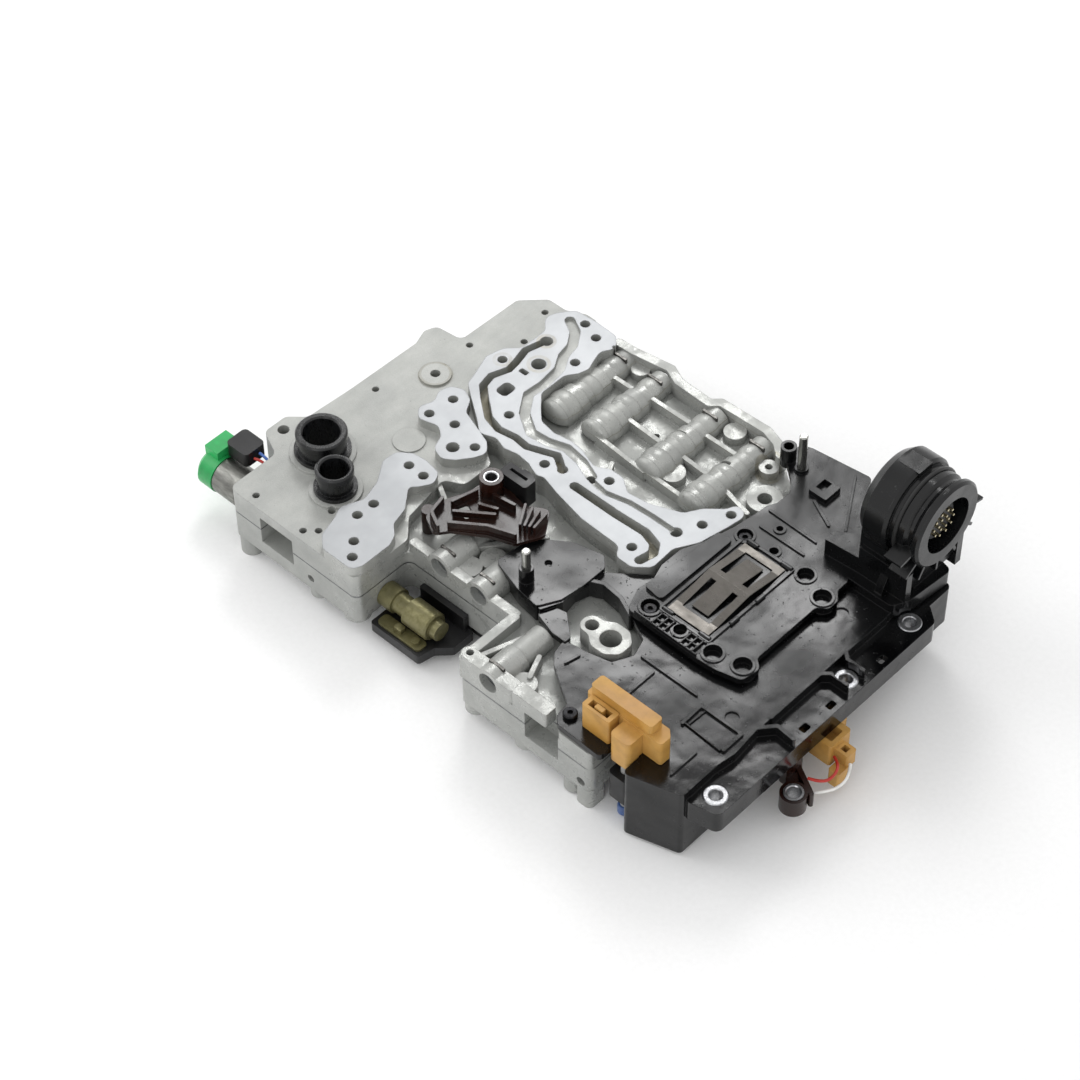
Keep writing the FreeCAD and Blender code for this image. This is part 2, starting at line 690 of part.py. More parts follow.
def bore_places():
    """Axis and open end of every valve bore: x, y of the open end, height, direction inwards, depth."""
    places = [(x, size("far_bore_open"), "far_bore_height", -1,
               size("far_bore_open") - y - size("bore_end_wall"))
              for x, y in FAR_BORES]
    places += [(x, size(face), "near_bore_height", 1, size("near_bore_depth")) for x, face in NEAR_BORES]
    return places


def bore_piece(name, profile, x, start, height, inwards):
    """A turned piece on a bore's axis, drawn from its outer end inwards."""
    return turned(name, profile, x, start, height, "y" if inwards > 0 else "-y")


def bore_plugs():
    """Slotted end plugs, each with the groove that its retaining clip stands in."""
    plugs = []
    radius = size("bore_radius") - size("spool_clearance")
    inset, clip = size("clip_slot_inset"), size("clip_thickness") + 2 * size("clip_clearance")
    neck, length = size("plug_neck_radius"), size("plug_length")
    groove = inset - size("plug_inset") - size("clip_clearance")
    for index, (x, face, height, inwards, depth) in enumerate(bore_places()):
        profile = [(0, 1.5), (size("plug_socket_radius"), 1.5), (size("plug_socket_radius"), 0),
                   (radius, 0), (radius, groove), (neck, groove), (neck, groove + clip),
                   (radius, groove + clip), (radius, length), (0, length)]
        start = face + inwards * size("plug_inset")
        plugs.append(bore_piece("plug_%d" % index, profile, x, start, height, inwards))
    return keep(fused("bore_plugs", plugs), "bore_plugs")


def plug_clips():
    """Steel clips that drop over the plugs' necks."""
    clips = []
    for index, (x, face, height, inwards, depth) in enumerate(bore_places()):
        start = face + inwards * size("clip_slot_inset")
        low = start if inwards > 0 else start - size("clip_thickness")
        plate = box("clip_plate_%d" % index, "clip_width", "clip_thickness", "clip_height",
                    "%s - clip_width / 2" % x, low, "%s - 1.5" % height)
        notch = box("clip_notch_%d" % index, "2 * (plug_neck_radius + fit_gap)", "clip_thickness + 2",
                    "plug_neck_radius + fit_gap + 2.5", "%s - plug_neck_radius - fit_gap" % x, low - 1,
                    "%s - 2.5" % height)
        clips.append(cut("clip_%d" % index, plate, [notch]))
    return keep(fused("plug_clips", clips), "plug_clips")


def valve_spools():
    """Spool valves, each with its lands, waists and a stop nub at the blind end of its bore."""
    for index, (x, face, height, inwards, depth) in enumerate(bore_places()):
        radius = size("bore_radius") - size("spool_clearance")
        waist = size("spool_neck_radius")
        length = size("spool_length") if inwards < 0 else size("short_spool_length")
        land, nub = length * size("spool_land_share"), size("spool_nub_length")
        start = face + inwards * (depth - length - size("spool_end_gap"))
        middle, last = length / 2, length - nub
        profile = [(0, 0), (radius, 0), (radius, land), (waist, land), (waist, middle), (radius, middle),
                   (radius, middle + land / 2), (waist, middle + land / 2), (waist, last - land / 2),
                   (radius, last - land / 2), (radius, last), (waist, last), (waist, length), (0, length)]
        name = "valve_spool_%d" % (index + 1)
        keep(bore_piece(name, profile, x, start, height, inwards), name)


def valve_springs():
    """Coil springs between the plugs and the spools."""
    for index, (x, face, height, inwards, depth) in enumerate(bore_places()):
        long_spool = size("spool_length") if inwards < 0 else size("short_spool_length")
        first = size("plug_inset") + size("plug_length") + size("spring_gap")
        last = depth - long_spool - size("spool_end_gap") - size("spring_gap")
        wire = size("spring_wire")
        mean = size("bore_radius") - size("spring_clearance") - wire / 2
        turns, steps = size("spring_turns"), 10
        run = last - first - wire
        count = int(turns * steps)
        path = []
        for step in range(count + 1):
            angle = 2 * math.pi * step / steps
            path.append(Vector(x + mean * math.cos(angle),
                               face + inwards * (first + wire / 2 + run * step / count),
                               size(height) + mean * math.sin(angle)))
        name = "valve_spring_%d" % (index + 1)
        keep(swept(name, Part.makePolygon(path), wire / 2 * 1.2, 4, 1), name)


def swept(name, path, radius, sides=0, corner=0):
    """A wire or cable of even thickness along a path; with sides it is a flat-sided one."""
    edge = path.Edges[0]
    along = edge.tangentAt(edge.FirstParameter)
    start = edge.valueAt(edge.FirstParameter)
    ring = Part.Circle(start, along, radius)
    if sides:
        corners = [ring.value(2 * math.pi * step / sides) for step in range(sides)]
        section = Part.makePolygon(corners + corners[:1])
    else:
        section = Part.Wire([ring.toShape()])
    shell = Part.BRepOffsetAPI.MakePipeShell(path)
    shell.setTransitionMode(corner)
    shell.setFrenetMode(False)
    shell.add(section)
    shell.build()
    shell.makeSolid()
    item = doc.addObject("Part::Feature", name)
    item.Shape = shell.shape()
    return item


# Electronics housing


def deck_outline():
    """Left and far edge of the upper deck, round the lands of the casting, and its stepped right edge."""
    return [(60, -30), (66, -45), (118, -46), (130, -45), (146, -41), (148, -28), (142, -23), (142, 27),
            (148, 31), (148, 39), (143, 45), (143, 56), (120, 58), (117, 68), (112, 95), (103, 125),
            (62, 120), (55, 117), (55, 103), (62, 98), (69, 92), (75, 84), (75, 73), (72, 66), (71, 56),
            (69, 42), (65, 25), (58, 8), (58, -8), (62, -20)]


def lower_deck_outline():
    """Near part of the deck, with the notch that the plug's cable passes through."""
    near = size("near_face")
    return [(58, -12), (34.5, -30), (34.5, -38), (50, -38), (66, -43), (84, -52), (88, -64), (82, -76),
            (66, -80), (52, -82), (54, -92), (60, -99), (74, -108), (84, -114), (85.5, -124),
            (90, near + 1), (122, near), (122, near + 17), (137.5, near + 17), (137.5, near),
            (172, near + 10.5), (172, 60), (140, 62), (140, -44), (66, -40)]


def panel_outline():
    """Left tongue of the deck, beside the sensor bracket."""
    return [(-14, -68), (-11, -42), (8, -28), (28, -23), (35, -30), (35, -48), (33, -64), (26, -77),
            (10, -75)]


CUPS = ((74.2, -35.5, 7.2), (97.7, -37, 5.6), (121.8, -37, 7.2), (139.6, -32.5, 7.2), (140, 35, 7.2),
         (122.5, 41.4, 6.7), (98, 42.7, 4.5), (89.4, 58, 3.8), (78, 41, 6.4))
LOCATING_PINS = ((8.0, -66.0, "panel_height", "front_pin_top"), (68.0, 102.6, "upper_deck", "far_pin_top"))
CORNER_POST = (56.5, 104.2)
HOUSING_SCREWS = ((91.0, -119.0, "lower_deck"), (74.2, -35.5, "cup_floor"), (78.0, 41.0, "cup_floor"))


def electronics_housing():
    """Moulded housing: stepped decks, the box of the control unit, its ledge and the socket's tower."""
    near = size("near_face")
    left, right, step = size("housing_left"), size("housing_right"), size("ledge_step")
    ledge = size("ledge_right")
    ledge_plan = [(step - 3, -117), (ledge, -112), (ledge, 72), (right, 80), (step - 3, 80)]
    corner = [(137.5, near), (step, near + 10.5), (step, -92), (137.5, -92)]
    far_foot = [(118, 56), (step, 56), (step + 5, 66), (step + 8, 100), (99, 120), (112, 90)]
    pieces = [
        raised("deck", [rounded(deck_outline(), 4)], "upper_deck - deck_thickness", "upper_deck"),
        raised("low_deck", [rounded(lower_deck_outline(), 3)], "lower_deck - deck_thickness", "lower_deck"),
        raised("tongue", [rounded(panel_outline(), 4)], "panel_height - deck_thickness", "panel_height"),
        raised("tongue_skirt", [strip(((-10, -66.5), (10, -73.5), (25, -75.5)), 2.5)], "web_height + 2",
               "panel_height"),
        raised("well_wall", [strip(((28, -75.5), (33, -64), (31, -52), (34, -42), (42, -38), (56, -39.5),
                                    (68, -45)),
                                   2.5)], "web_height + 1.5", "panel_height - 1"),
        raised("well_flap", [rounded([(29, -79), (31, -69), (40, -67), (54, -79), (54, -83.4), (44, -83.4)],
                                     1)],
               "lower_deck - 3", "lower_deck + 1"),
        raised("control_box", [rectangle(left, -92, step, 100, 4)], "housing_bottom", "lower_deck"),
        raised("box_side", [rectangle(step - 8, -88, right, 100, 4)], "housing_bottom", "ledge_height"),
        raised("ledge", [rounded(ledge_plan, 5)], "skirt_bottom", "ledge_height"),
        raised("corner_box", [rounded(corner, 3)], 2.5, "lower_deck"),
        raised("tower_foot", [rounded(far_foot, 4)], "lower_deck - deck_thickness", "upper_deck"),
        raised("plateau", [rounded([(62, -27), (76, -29), (76, 34), (66, 31)], 3)], "upper_deck - 1",
               "upper_deck + plateau_rise"),
        raised("leaf_frame", [rectangle(78, -34, 116, 40, 1), rectangle(80, -32, 114, 38, 1)],
               "upper_deck - 1", "upper_deck + frame_rise"),
        raised("u_rib", [strip(((139.5, -82), (139, -66), (168, -66), (168, -81)), 2)], "lower_deck - 1",
               "lower_deck + 1.5"),
        raised("step_wall", [strip(((171, -112), (170.5, -92), (172.5, -78), (170.5, -57), (178, -48),
                                    (190, -49)), 2.5)],
               "ledge_height - 1", "lower_deck + 0.5"),
        raised("far_step_wall", [strip(((171.5, -46), (171.5, -4), (176, 0), (187, 0)), 2.5)],
               "ledge_height - 1", "lower_deck + 0.5"),
        raised("far_ledge_wall", [strip(((187, 14), (176, 14), (171.5, 18), (171.5, 52)), 2.5)],
               "ledge_height - 1", "lower_deck + 0.5"),
        raised("lamp_box", [rectangle(83, 90.5, 96, 104.5, 1)], "upper_deck - 1", "upper_deck + 3.5"),
        raised("groove_rib", [strip(((76, 65), (111, 64)), 1.5), strip(((95, 119), (118, 82)), 1.5),
                              strip(((90, 88), (108, 79)), 2), strip(((80, 52), (112, 52)), 1.5)],
               "upper_deck - 1", "upper_deck + 1"),
        raised("near_ribs", [strip(((66, -85), (64, -94)), 1.5), strip(((104, -92), (104, -66)), 1.5),
                             strip(((92, -62), (132, -62)), 1.5), strip(((158, -112), (158, -92)), 1.5)],
               "lower_deck - 1", "lower_deck + 1.2"),
        raised("front_pin_socket", [circle(*LOCATING_PINS[0][:2], 4.4)], "panel_height - 1",
               "panel_height + front_socket_height"),
        raised("far_pin_socket", [circle(*LOCATING_PINS[1][:2], 4.2)], "upper_deck - 1", "upper_deck + 2"),
        raised("corner_post", [circle(*CORNER_POST, 4.8)], "upper_deck - deck_thickness",
               "upper_deck + 10"),
    ]
    for index, (x, y, radius) in enumerate(CUPS):
        pieces.append(cylinder("cup_%d" % index, radius, "upper_deck + cup_rim - lower_deck", x, y,
                               "lower_deck"))
    pieces.append(cylinder("screw_boss_near", "screw_boss_radius", "lower_deck - screw_boss_bottom", 91,
                           -119, "screw_boss_bottom"))
    for index, y in enumerate(HOUSING_BUSHINGS):
        pieces.append(cylinder("bushing_boss_%d" % index, "bushing_radius + housing_wall",
                               "ledge_height - skirt_bottom", "bushing_x", y, "skirt_bottom"))
    pieces += tower_pieces()
    moulding = fused("housing_moulding", pieces)

    wall = size("housing_wall")
    groove = size("collar_radius") - size("oring_wire")
    seal_reach = size("collar_radius") + 2 * size("oring_wire")
    seal_start = size("tower_back") + 25
    tools = [
        raised("cavity", [rectangle(left + wall, -92 + wall, step - wall, 100 - wall, 3)],
               "housing_bottom - 1", "lower_deck - deck_thickness"),
        raised("side_cavity", [rectangle(step - 10, -86, right - wall, 96, 3)], "housing_bottom - 1",
               "ledge_height - deck_thickness"),
        raised("skirt_space", [rectangle(right, -96, ledge - wall, 52, 2)], "skirt_bottom - 1",
               "ledge_height - deck_thickness"),
        raised("corner_space", [rectangle(140, -112, step - wall, -94.5, 2)], 2,
               "lower_deck - deck_thickness"),
        raised("rect_windows", [rectangle(184.5, -38, 189, -32, 1), rectangle(185, -16, 189, -10, 1),
                                rectangle(185, 28, 189, 34, 1)], "skirt_bottom", "ledge_height + 1"),
        raised("lamp_window", [rectangle(85, 95, 90.5, 103)], "upper_deck", "upper_deck + 4"),
        cylinder("bore_relief", "bore_radius + 3.4", 60, NEAR_BORES[1][0], "notch_wall", "near_bore_height",
                 "y"),
        cylinder("dimple_0", 4, 3, 156, -60, "lower_deck - 1"),
        cylinder("dimple_1", 4, 3, 152, 38, "lower_deck - 1"),
        cylinder("socket_mouth", "socket_radius", "socket_depth + 1", "socket_front - socket_depth",
                 "socket_y", "socket_z", "x"),
        cylinder("insert_seat", "insert_radius + fit_gap", 8, "socket_front - socket_depth - 6", "socket_y",
                 "socket_z", "x"),
        box("tower_hollow", 28, 34, 24, "tower_back + 4", "socket_y - 17", "lower_deck + 2"),
        turned("seal_way", [(groove, seal_start), (seal_reach, seal_start), (seal_reach, seal_start + 3),
                            (groove, seal_start + 3)], 0, "socket_y", "socket_z", "x"),
        cylinder("spare_pin_hole", 2.2, 20, 9, -49, "panel_height - 2"),
        cylinder("corner_post_hole", 3, 20, *CORNER_POST, "upper_deck"),
    ]
    for index, (x, y, deck, top) in enumerate(LOCATING_PINS):
        tools.append(cylinder("pin_seat_%d" % index, "locating_pin_radius + fit_gap", 20, x, y,
                              "%s - deck_thickness + 1" % deck))
    for index, (x, y, radius) in enumerate(CUPS):
        tools.append(cylinder("cup_space_%d" % index, "%s - cup_wall" % radius, 10, x, y, "cup_floor"))
    for index, (x, y, deck) in enumerate(HOUSING_SCREWS):
        tools.append(cylinder("screw_hole_%d" % index, "screw_radius + fit_gap", 40, x, y,
                              "screw_boss_bottom - 1"))
    for index, y in enumerate(HOUSING_BUSHINGS):
        tools.append(cylinder("bushing_hole_%d" % index, "bushing_radius + fit_gap", 40, "bushing_x", y,
                              "housing_bottom - 5"))
    return keep(cut("electronics_housing", moulding, tools), "electronics_housing")


def tower_pieces():
    """The round shell that carries the plug socket, its collar, flange, ribs and foot."""
    y, z, back, front = size("socket_y"), size("socket_z"), size("tower_back"), size("socket_front")
    shell, collar, flange = size("tower_radius"), size("collar_radius"), size("flange_radius")
    groove = collar - size("oring_wire")
    fin_reach = size("fin_reach")
    end = front - size("flange_length")
    profile = [(0, back), (shell - 8, back), (shell - 4, back + 2), (shell, back + 7), (shell, back + 20),
               (shell - 1.5, back + 22), (collar, back + 22), (collar, back + 25), (groove, back + 25),
               (groove, back + 28), (collar, back + 28), (collar, back + 32), (collar - 2, back + 34),
               (collar - 2, end - 1), (flange - 2, end), (flange, end + 2), (flange, front - 1.5),
               (flange - 1.5, front), (0, front)]
    pieces = [turned("socket_shell", profile, 0, "socket_y", "socket_z", "x"),
              box("tower_block", 18, 46, "socket_z - lower_deck", "tower_back + 2", "socket_y - 23",
                  "lower_deck"),
              box("tower_front", 14, 36, "socket_z - lower_deck - 18", "tower_back + 18", "socket_y - 18",
                  "lower_deck"),
              box("tower_cheek", 34, 5, 27, "tower_back + 4", "socket_y - 26", "lower_deck"),
              box("tower_far_cheek", 34, 5, 27, "tower_back + 4", "socket_y + 20", "lower_deck"),
              box("key_block", 14, 12, 5, "tower_back + 9", "socket_y - 4", "socket_z + tower_radius - 5"),
              raised("tower_wedge", [rounded([(119, 61), (119, 70), (141, 82), (143, 63)], 1)],
                     "upper_deck - 1", "upper_deck + 12")]
    for index in range(7):
        angle = math.radians(190 + 26 * index)
        out, side = Vector(0, math.cos(angle), math.sin(angle)), Vector(0, -math.sin(angle),
                                                                        math.cos(angle))
        middle = Vector(0, y, z)
        corners = [middle + out * reach + side * half for reach, half in
                   ((collar - 4, -0.9), (flange + fin_reach, -0.9), (flange + fin_reach, 0.9),
                    (collar - 4, 0.9))]
        pieces.append(upright("fin_%d" % index, [(c.y, c.z) for c in corners], end - 9, 12))
    fan = [(y - 26, z - 12), (y - 29, z - 26), (y - 14, z - 47), (y + 18, z - 47), (y + 26, z - 30),
           (y + 25, z - 12)]
    pieces.append(upright("fin_web", fan, "socket_front - 12", 4))
    gusset = [(size("lower_deck"), y - 33), (size("lower_deck"), y - 20), (size("socket_z") - 20, y - 20)]
    pieces.append(upright("gusset", [(b, a) for a, b in gusset], "tower_back + 20", 5))
    return pieces


def electronics_cover():
    """Flat cover that closes the control unit's box from below and ends short of the bolts' sleeves."""
    body = new_body("electronics_cover")
    left = size("housing_left")
    right = size("bushing_x") - size("bushing_radius")
    top = "housing_bottom - deck_seat_gap"
    pad(body, "plate", [rectangle(left, -88, right, 99, 4)], "%s - cover_thickness" % top, top)
    pad(body, "stiffeners", [strip(((left + 14, y), (right - 14, y)), 3) for y in (-55, -10, 35, 78)],
        "%s - cover_thickness - 2" % top, "%s - cover_thickness" % top)
    pocket(body, "vents", [circle(x, y, 2.5) for x in (left + 8, right - 8) for y in (-78, 5, 88)],
           "%s + 1" % top, "cover_thickness + 2")
    return keep(body, "electronics_cover")


def circuit_board():
    """Control unit's board, held below the housing's top."""
    body = new_body("circuit_board")
    left, right = size("housing_left") + 3.5, size("ledge_step") - 3.5
    pad(body, "laminate", [rectangle(left, -88.5, right, 96.5, 2)], "board_height",
        "board_height + board_thickness")
    pocket(body, "holes", [circle(x, y, 1.8) for x in (left + 5, right - 5) for y in (-82, 4, 90)],
           "board_height + board_thickness", "2 * board_thickness")
    return keep(body, "circuit_board")


def circuit_components():
    """Processor, driver chips and capacitors that stand on the board."""
    left = size("housing_left")
    parts = []
    for index, (x, y, length, width, height) in enumerate(((14, -20, 28, 28, 3), (12, 30, 12, 16, 2.5),
                                                           (30, 30, 12, 16, 2.5), (14, -70, 20, 10, 2.5))):
        parts.append(box("chip_%d" % index, length, width, height, left + x, y,
                         "board_height + board_thickness"))
    for index, (x, y) in enumerate(((16, -42), (32, -42), (16, 62), (32, 62))):
        parts.append(cylinder("capacitor_%d" % index, 5, 11, left + x, y, "board_height + board_thickness"))
    return keep(fused("circuit_components", parts), "circuit_components")


def connector_insert():
    """Round block in the socket that holds the pins."""
    back = "socket_front - socket_depth - 5.7"
    profile = [(0, 0), (size("insert_radius"), 0), (size("insert_radius"), size("insert_length") + 4),
               (size("insert_radius") - 1, size("insert_length") + 5), (0, size("insert_length") + 5)]
    block = turned("insert_block", profile, back, "socket_y", "socket_z", "x")
    holes = [cylinder("pin_hole_%d" % index, "pin_radius + spool_clearance", 20,
                      "socket_front - socket_depth + insert_length - 7", "socket_y + %.3f" % y,
                      "socket_z + %.3f" % z, "x")
             for index, (y, z) in enumerate(pin_places())]
    return keep(cut("connector_insert", block, holes), "connector_insert")


def pin_places():
    """Two rings of contacts round the socket's axis."""
    outer, inner = size("pin_ring_radius"), size("pin_ring_radius") / 2
    outer_turns = [step * math.pi / 5 for step in range(10)]
    inner_turns = [step * math.pi / 3 for step in range(6)]
    places = [(outer * math.cos(turn), outer * math.sin(turn)) for turn in outer_turns]
    places += [(inner * math.cos(turn), inner * math.sin(turn)) for turn in inner_turns]
    return places


def connector_pins():
    """Contacts of the plug socket."""
    pins = [cylinder("pin_%d" % index, "pin_radius", "pin_length",
                     "socket_front - socket_depth + insert_length - 6.7", "socket_y + %.3f" % y,
                     "socket_z + %.3f" % z, "x")
            for index, (y, z) in enumerate(pin_places())]
    return keep(fused("connector_pins", pins), "connector_pins")


def connector_seal():
    """Rubber ring in the groove of the socket's collar."""
    item = doc.addObject("Part::Torus", "connector_seal")
    bind(item, "Radius1", "collar_radius + spool_clearance + 0.1")
    bind(item, "Radius2", "oring_wire")
    return keep(place(item, "tower_back + 26.5", "socket_y", "socket_z", "x"), "connector_seal")


def leaf_spring():
    """Stamped steel spring over the deck, bent up to a crease, with two long tongues."""
    low = size("upper_deck") + size("deck_seat_gap")
    thick, rise = size("leaf_thickness"), size("leaf_rise")
    crest = [(-30, low), (-22, low), (5, low + rise), (30, low), (36, low)]
    outline = crest + [(y, z + thick) for y, z in crest[::-1]]
    sheet_metal = upright("leaf_sheet", outline, 82, 30)
    openings = [rectangle(87, -23, 91, 1), rectangle(103, -23, 107, 1), rectangle(91, -23, 103, -19.5),
                rectangle(87, 9, 91, 31), rectangle(103, 9, 107, 31), rectangle(91, 27.5, 103, 31)]
    cuts = [raised("leaf_opening_%d" % index, [opening], "upper_deck - 1", "upper_deck + leaf_rise + 3")
            for index, opening in enumerate(openings)]
    return keep(cut("leaf_spring", sheet_metal, cuts), "leaf_spring")


def housing_bushings():
    """Steel sleeves that the mounting bolts pass through."""
    radius, bore, length = size("bushing_radius"), size("bushing_bore"), size("bushing_length")
    profile = [(bore, 0.5), (bore + 0.5, 0), (radius, 0), (radius, length - 0.5), (radius - 0.5, length),
               (bore + 0.5, length), (bore, length - 0.5)]
    sleeves = [turned("sleeve_%d" % index, profile, "bushing_x", y,
                      "ledge_height + bushing_rise - bushing_length")
               for index, y in enumerate(HOUSING_BUSHINGS)]
    return keep(fused("housing_bushings", sleeves), "housing_bushings")


def locating_pins():
    """Polished steel pins that stand in the decks."""
    radius = size("locating_pin_radius")
    pins = []
    for index, (x, y, deck, top) in enumerate(LOCATING_PINS):
        bottom = size(deck) - size("deck_thickness") + 1 + size("deck_seat_gap")
        length = size(top) - bottom
        profile = [(0, 0), (radius, 0), (radius, length - 0.8), (radius - 0.8, length), (0, length)]
        pins.append(turned("locating_pin_%d" % index, profile, x, y, bottom))
    return keep(fused("locating_pins", pins), "locating_pins")


def housing_screws():
    """Screws that hold the housing to the upper casting."""
    radius, head = size("screw_radius"), size("screw_head_radius")
    screws = []
    for index, (x, y, deck) in enumerate(HOUSING_SCREWS):
        length = size(deck) - size("screw_boss_bottom") + size("screw_bite")
        profile = [(0, 0), (radius, 0), (radius, length), (head, length), (head, length + 2.4),
                   (head - 0.6, length + 3), (1.6, length + 3), (1.6, length + 1.4), (0, length + 1.4)]
        screws.append(turned("screw_%d" % index, profile, x, y, size(deck) - length))
    return keep(fused("housing_screws", screws), "housing_screws")


# Sensor bracket


def sensor_bracket():
    """Brown moulded bracket: ribbed plate on three legs, with a comb that guides the sensor's wires."""
    body = new_body("sensor_bracket")
    plate = [(-68, -62), (-64, -74), (-52, -80), (-46, -72), (-28, -60), (-12, -54), (-4, -38), (-16, -21),
             (-28, -29), (-40, -26.3), (-58, -26.3), (-60, -44)]
    pad(body, "plate", [rounded(plate, 4)], "bracket_low", "bracket_low + bracket_web")
    pad(body, "boss", [circle(-50, -34, 7)], "web_height + deck_seat_gap", "bracket_top + 7")
    pad(body, "legs", [circle(-68, -68, 4), circle(-24, -40, 3)], "web_height + deck_seat_gap + 0.4",
        "bracket_low + 1")
    rim = [strip(((-64, -60), (-61, -72), (-51, -77)), 2), strip(((-48, -71), (-30, -58), (-14, -52)), 2),
           strip(((-54, -42), (-58, -58)), 2), strip(((-44, -38), (-30, -36)), 2)]
    pad(body, "rim", rim, "bracket_low + bracket_web - 0.2", "bracket_top")
    ribs = [strip(((-53, -62), (-34, -48)), 2), strip(((-46, -48), (-36, -44)), 2)]
    pad(body, "ribs", ribs, "bracket_low + bracket_web - 0.2", "bracket_top - 1.5")
    comb = [strip(((-24 + 4.5 * step, -33 + 1 * step), (-16 + 2.6 * step, -46 + 1.2 * step)),
                  1.6) for step in range(4)]
    for index, tooth in enumerate(comb):
        pad(body, "tooth_%d" % index, [tooth], "bracket_low + bracket_web - 0.2", "bracket_top + 2")
    pocket(body, "insert_hole", [circle(-50, -34, size("insert_sleeve_radius") + size("fit_gap"))],
           "bracket_top + 7", "insert_sleeve_length + 0.3")
    pocket(body, "windows", [rounded([(-56, -56), (-46, -60), (-44, -54), (-54, -50)], 1.5)],
           "bracket_low + bracket_web", "bracket_web + 1")
    return keep(body, "sensor_bracket")


def bracket_sleeve():
    """Steel sleeve in the bracket's boss."""
    radius = size("insert_sleeve_radius")
    bore = size("insert_sleeve_bore")
    length = size("insert_sleeve_length")
    profile = [(bore, 0), (radius, 0), (radius, length), (bore + 0.5, length), (bore, length - 0.5)]
    return keep(turned("bracket_sleeve", profile, -50, -34, "bracket_top + 7 - insert_sleeve_length"),
                "bracket_sleeve")


def sensor_head():
    """Black sensor that is clipped on the bracket's far edge."""
    body = new_body("sensor_head")
    pad(body, "case", [rectangle(-52, -25.9, -31, -16, 2)], "bracket_low - 5", "bracket_top + 4")
    pad(body, "lug", [rectangle(-45, -22, -36, -12, 1.5)], "bracket_low - 5", "bracket_top")
    pocket(body, "slot", [rectangle(-48, -21, -35, -19)], "bracket_top + 4", 3)
    return keep(body, "sensor_head")


# Orange plug and its cable


def orange_plug():
    """Speed sensor's plug: tall flat shell, latch frame in front, cable outlet in the deck's notch."""
    body = new_body("orange_plug")
    low = "lower_deck + deck_seat_gap"
    face = size("near_face")
    back = [(96, face + 17.5), (150, face + 17.5), (150, face + 25), (146, face + 29), (100, face + 29),
            (96, face + 25)]
    pad(body, "shell", [rounded(back, 2)], low, "orange_top - 7")
    pad(body, "shell_top", [rounded([(x, y) for x, y in ((98, face + 18.5), (142, face + 18.5),
                                                         (142, face + 28),
                                                        (98, face + 28))], 2)], "orange_top - 7.2",
        "orange_top")
    pad(body, "outlet", [rectangle(123, face + 6, 137, face + 16.7, 3)], "lower_deck - 5",
        "lower_deck + 16")
    pad(body, "outlet_bridge", [rectangle(123, face + 12, 137, face + 18)], low, "lower_deck + 16")
    pad(body, "latch_block", [rectangle(100, face + 9, 120, face + 18, 1.5)], low, "orange_top - 6")
    pocket(body, "latch_space", [rectangle(103, face + 11, 117, face + 15.5)], "orange_top - 6", 12)
    pad(body, "latch", [rectangle(107, face + 11.6, 113, face + 14.6, 0.5)], "orange_top - 19",
        "orange_top - 5")
    return keep(body, "orange_plug")


def cable_guide():
    """Black clip on the housing's corner box that holds the cable."""
    body = new_body("cable_guide")
    right = 137.5 - size("deck_seat_gap")
    near = size("near_face")
    pad(body, "clip", [rectangle(123, near + 5, right, near + 19, 3)], 18, 38)
    pocket(body, "bore", [circle(130, near + 12, size("cable_radius") + size("deck_seat_gap"))], 38, 20)
    return keep(body, "cable_guide")


def plug_cable():
    """Grey cable that runs straight down from the plug to its end sleeve."""
    return keep(cylinder("plug_cable", "cable_radius", "lower_deck - 5 - cable_low", 130, "near_face + 12",
                         "cable_low"), "plug_cable")


def cable_end():
    """Blue sleeve on the cable's lower end."""
    radius = size("cable_radius")
    profile = [(0, 0), (radius + 0.8, 0), (radius + 1.6, 1), (radius + 1.6, 6), (radius + 1.1, 7), (0, 7)]
    return keep(turned("cable_end", profile, 130, "near_face + 12", "cable_low - 7"), "cable_end")


# Sensor arm and its wires on the right side


def sensor_arm():
    """Brown arm below the ledge that ends in a ring for a mounting bolt."""
    body = new_body("sensor_arm")
    gap = size("deck_seat_gap")
    ring = size("arm_sleeve_radius") + size("arm_wall")
    pad(body, "stem", [rectangle(size("housing_right") + gap, -50, 189, -36, 2)], 12,
        "ledge_height - deck_thickness - deck_seat_gap")
    pad(body, "ring", [circle(size("arm_x"), size("arm_y"), ring)], "arm_low", "arm_low + arm_height")
    pad(body, "web", [strip(((187, -44), (size("arm_x"), size("arm_y"))), 7)], "arm_low + 2",
        "arm_low + arm_height - 2")
    pad(body, "side_rib", [strip(((188, -40), (206, -50)), 3)], "arm_low + 2", "arm_low + arm_height")
    pocket(body, "ring_hole", [circle(size("arm_x"), size("arm_y"),
                                      size("arm_sleeve_radius") + size("fit_gap"))],
           "arm_low + arm_height", "arm_height")
    return keep(body, "sensor_arm")


def arm_sleeve():
    """Steel sleeve of the arm's ring."""
    radius, bore, length = size("arm_sleeve_radius"), size("arm_sleeve_bore"), size("arm_height") + 1
    profile = [(bore, 0), (radius, 0), (radius, length), (bore + 0.6, length), (bore, length - 0.6)]
    return keep(turned("arm_sleeve", profile, "arm_x", "arm_y", "arm_low - 0.5"), "arm_sleeve")


def cable_clip():
    """Orange clip under the ledge that the sensor's wires leave from."""
    body = new_body("cable_clip")
    face = size("housing_right") + size("deck_seat_gap")
    pad(body, "block", [rectangle(face, -26, 199, -8, 2)], 16, "skirt_bottom - 1")
    pad(body, "wing", [rectangle(197, -22, 208, -14, 1.5)], 18, 28)
    pad(body, "tail", [rectangle(201, -30, 208.5, -18, 1.5)], 8, 19.5)
    pad(body, "hook", [rectangle(face, -9, 190, 0, 1.5)], 22, 30)
    pocket(body, "slot", [rectangle(186, -22, 196, -12, 1)], "skirt_bottom - 1", 7)
    pocket(body, "eye", [rectangle(201, -20, 205, -16)], 28, 12)
    return keep(body, "cable_clip")


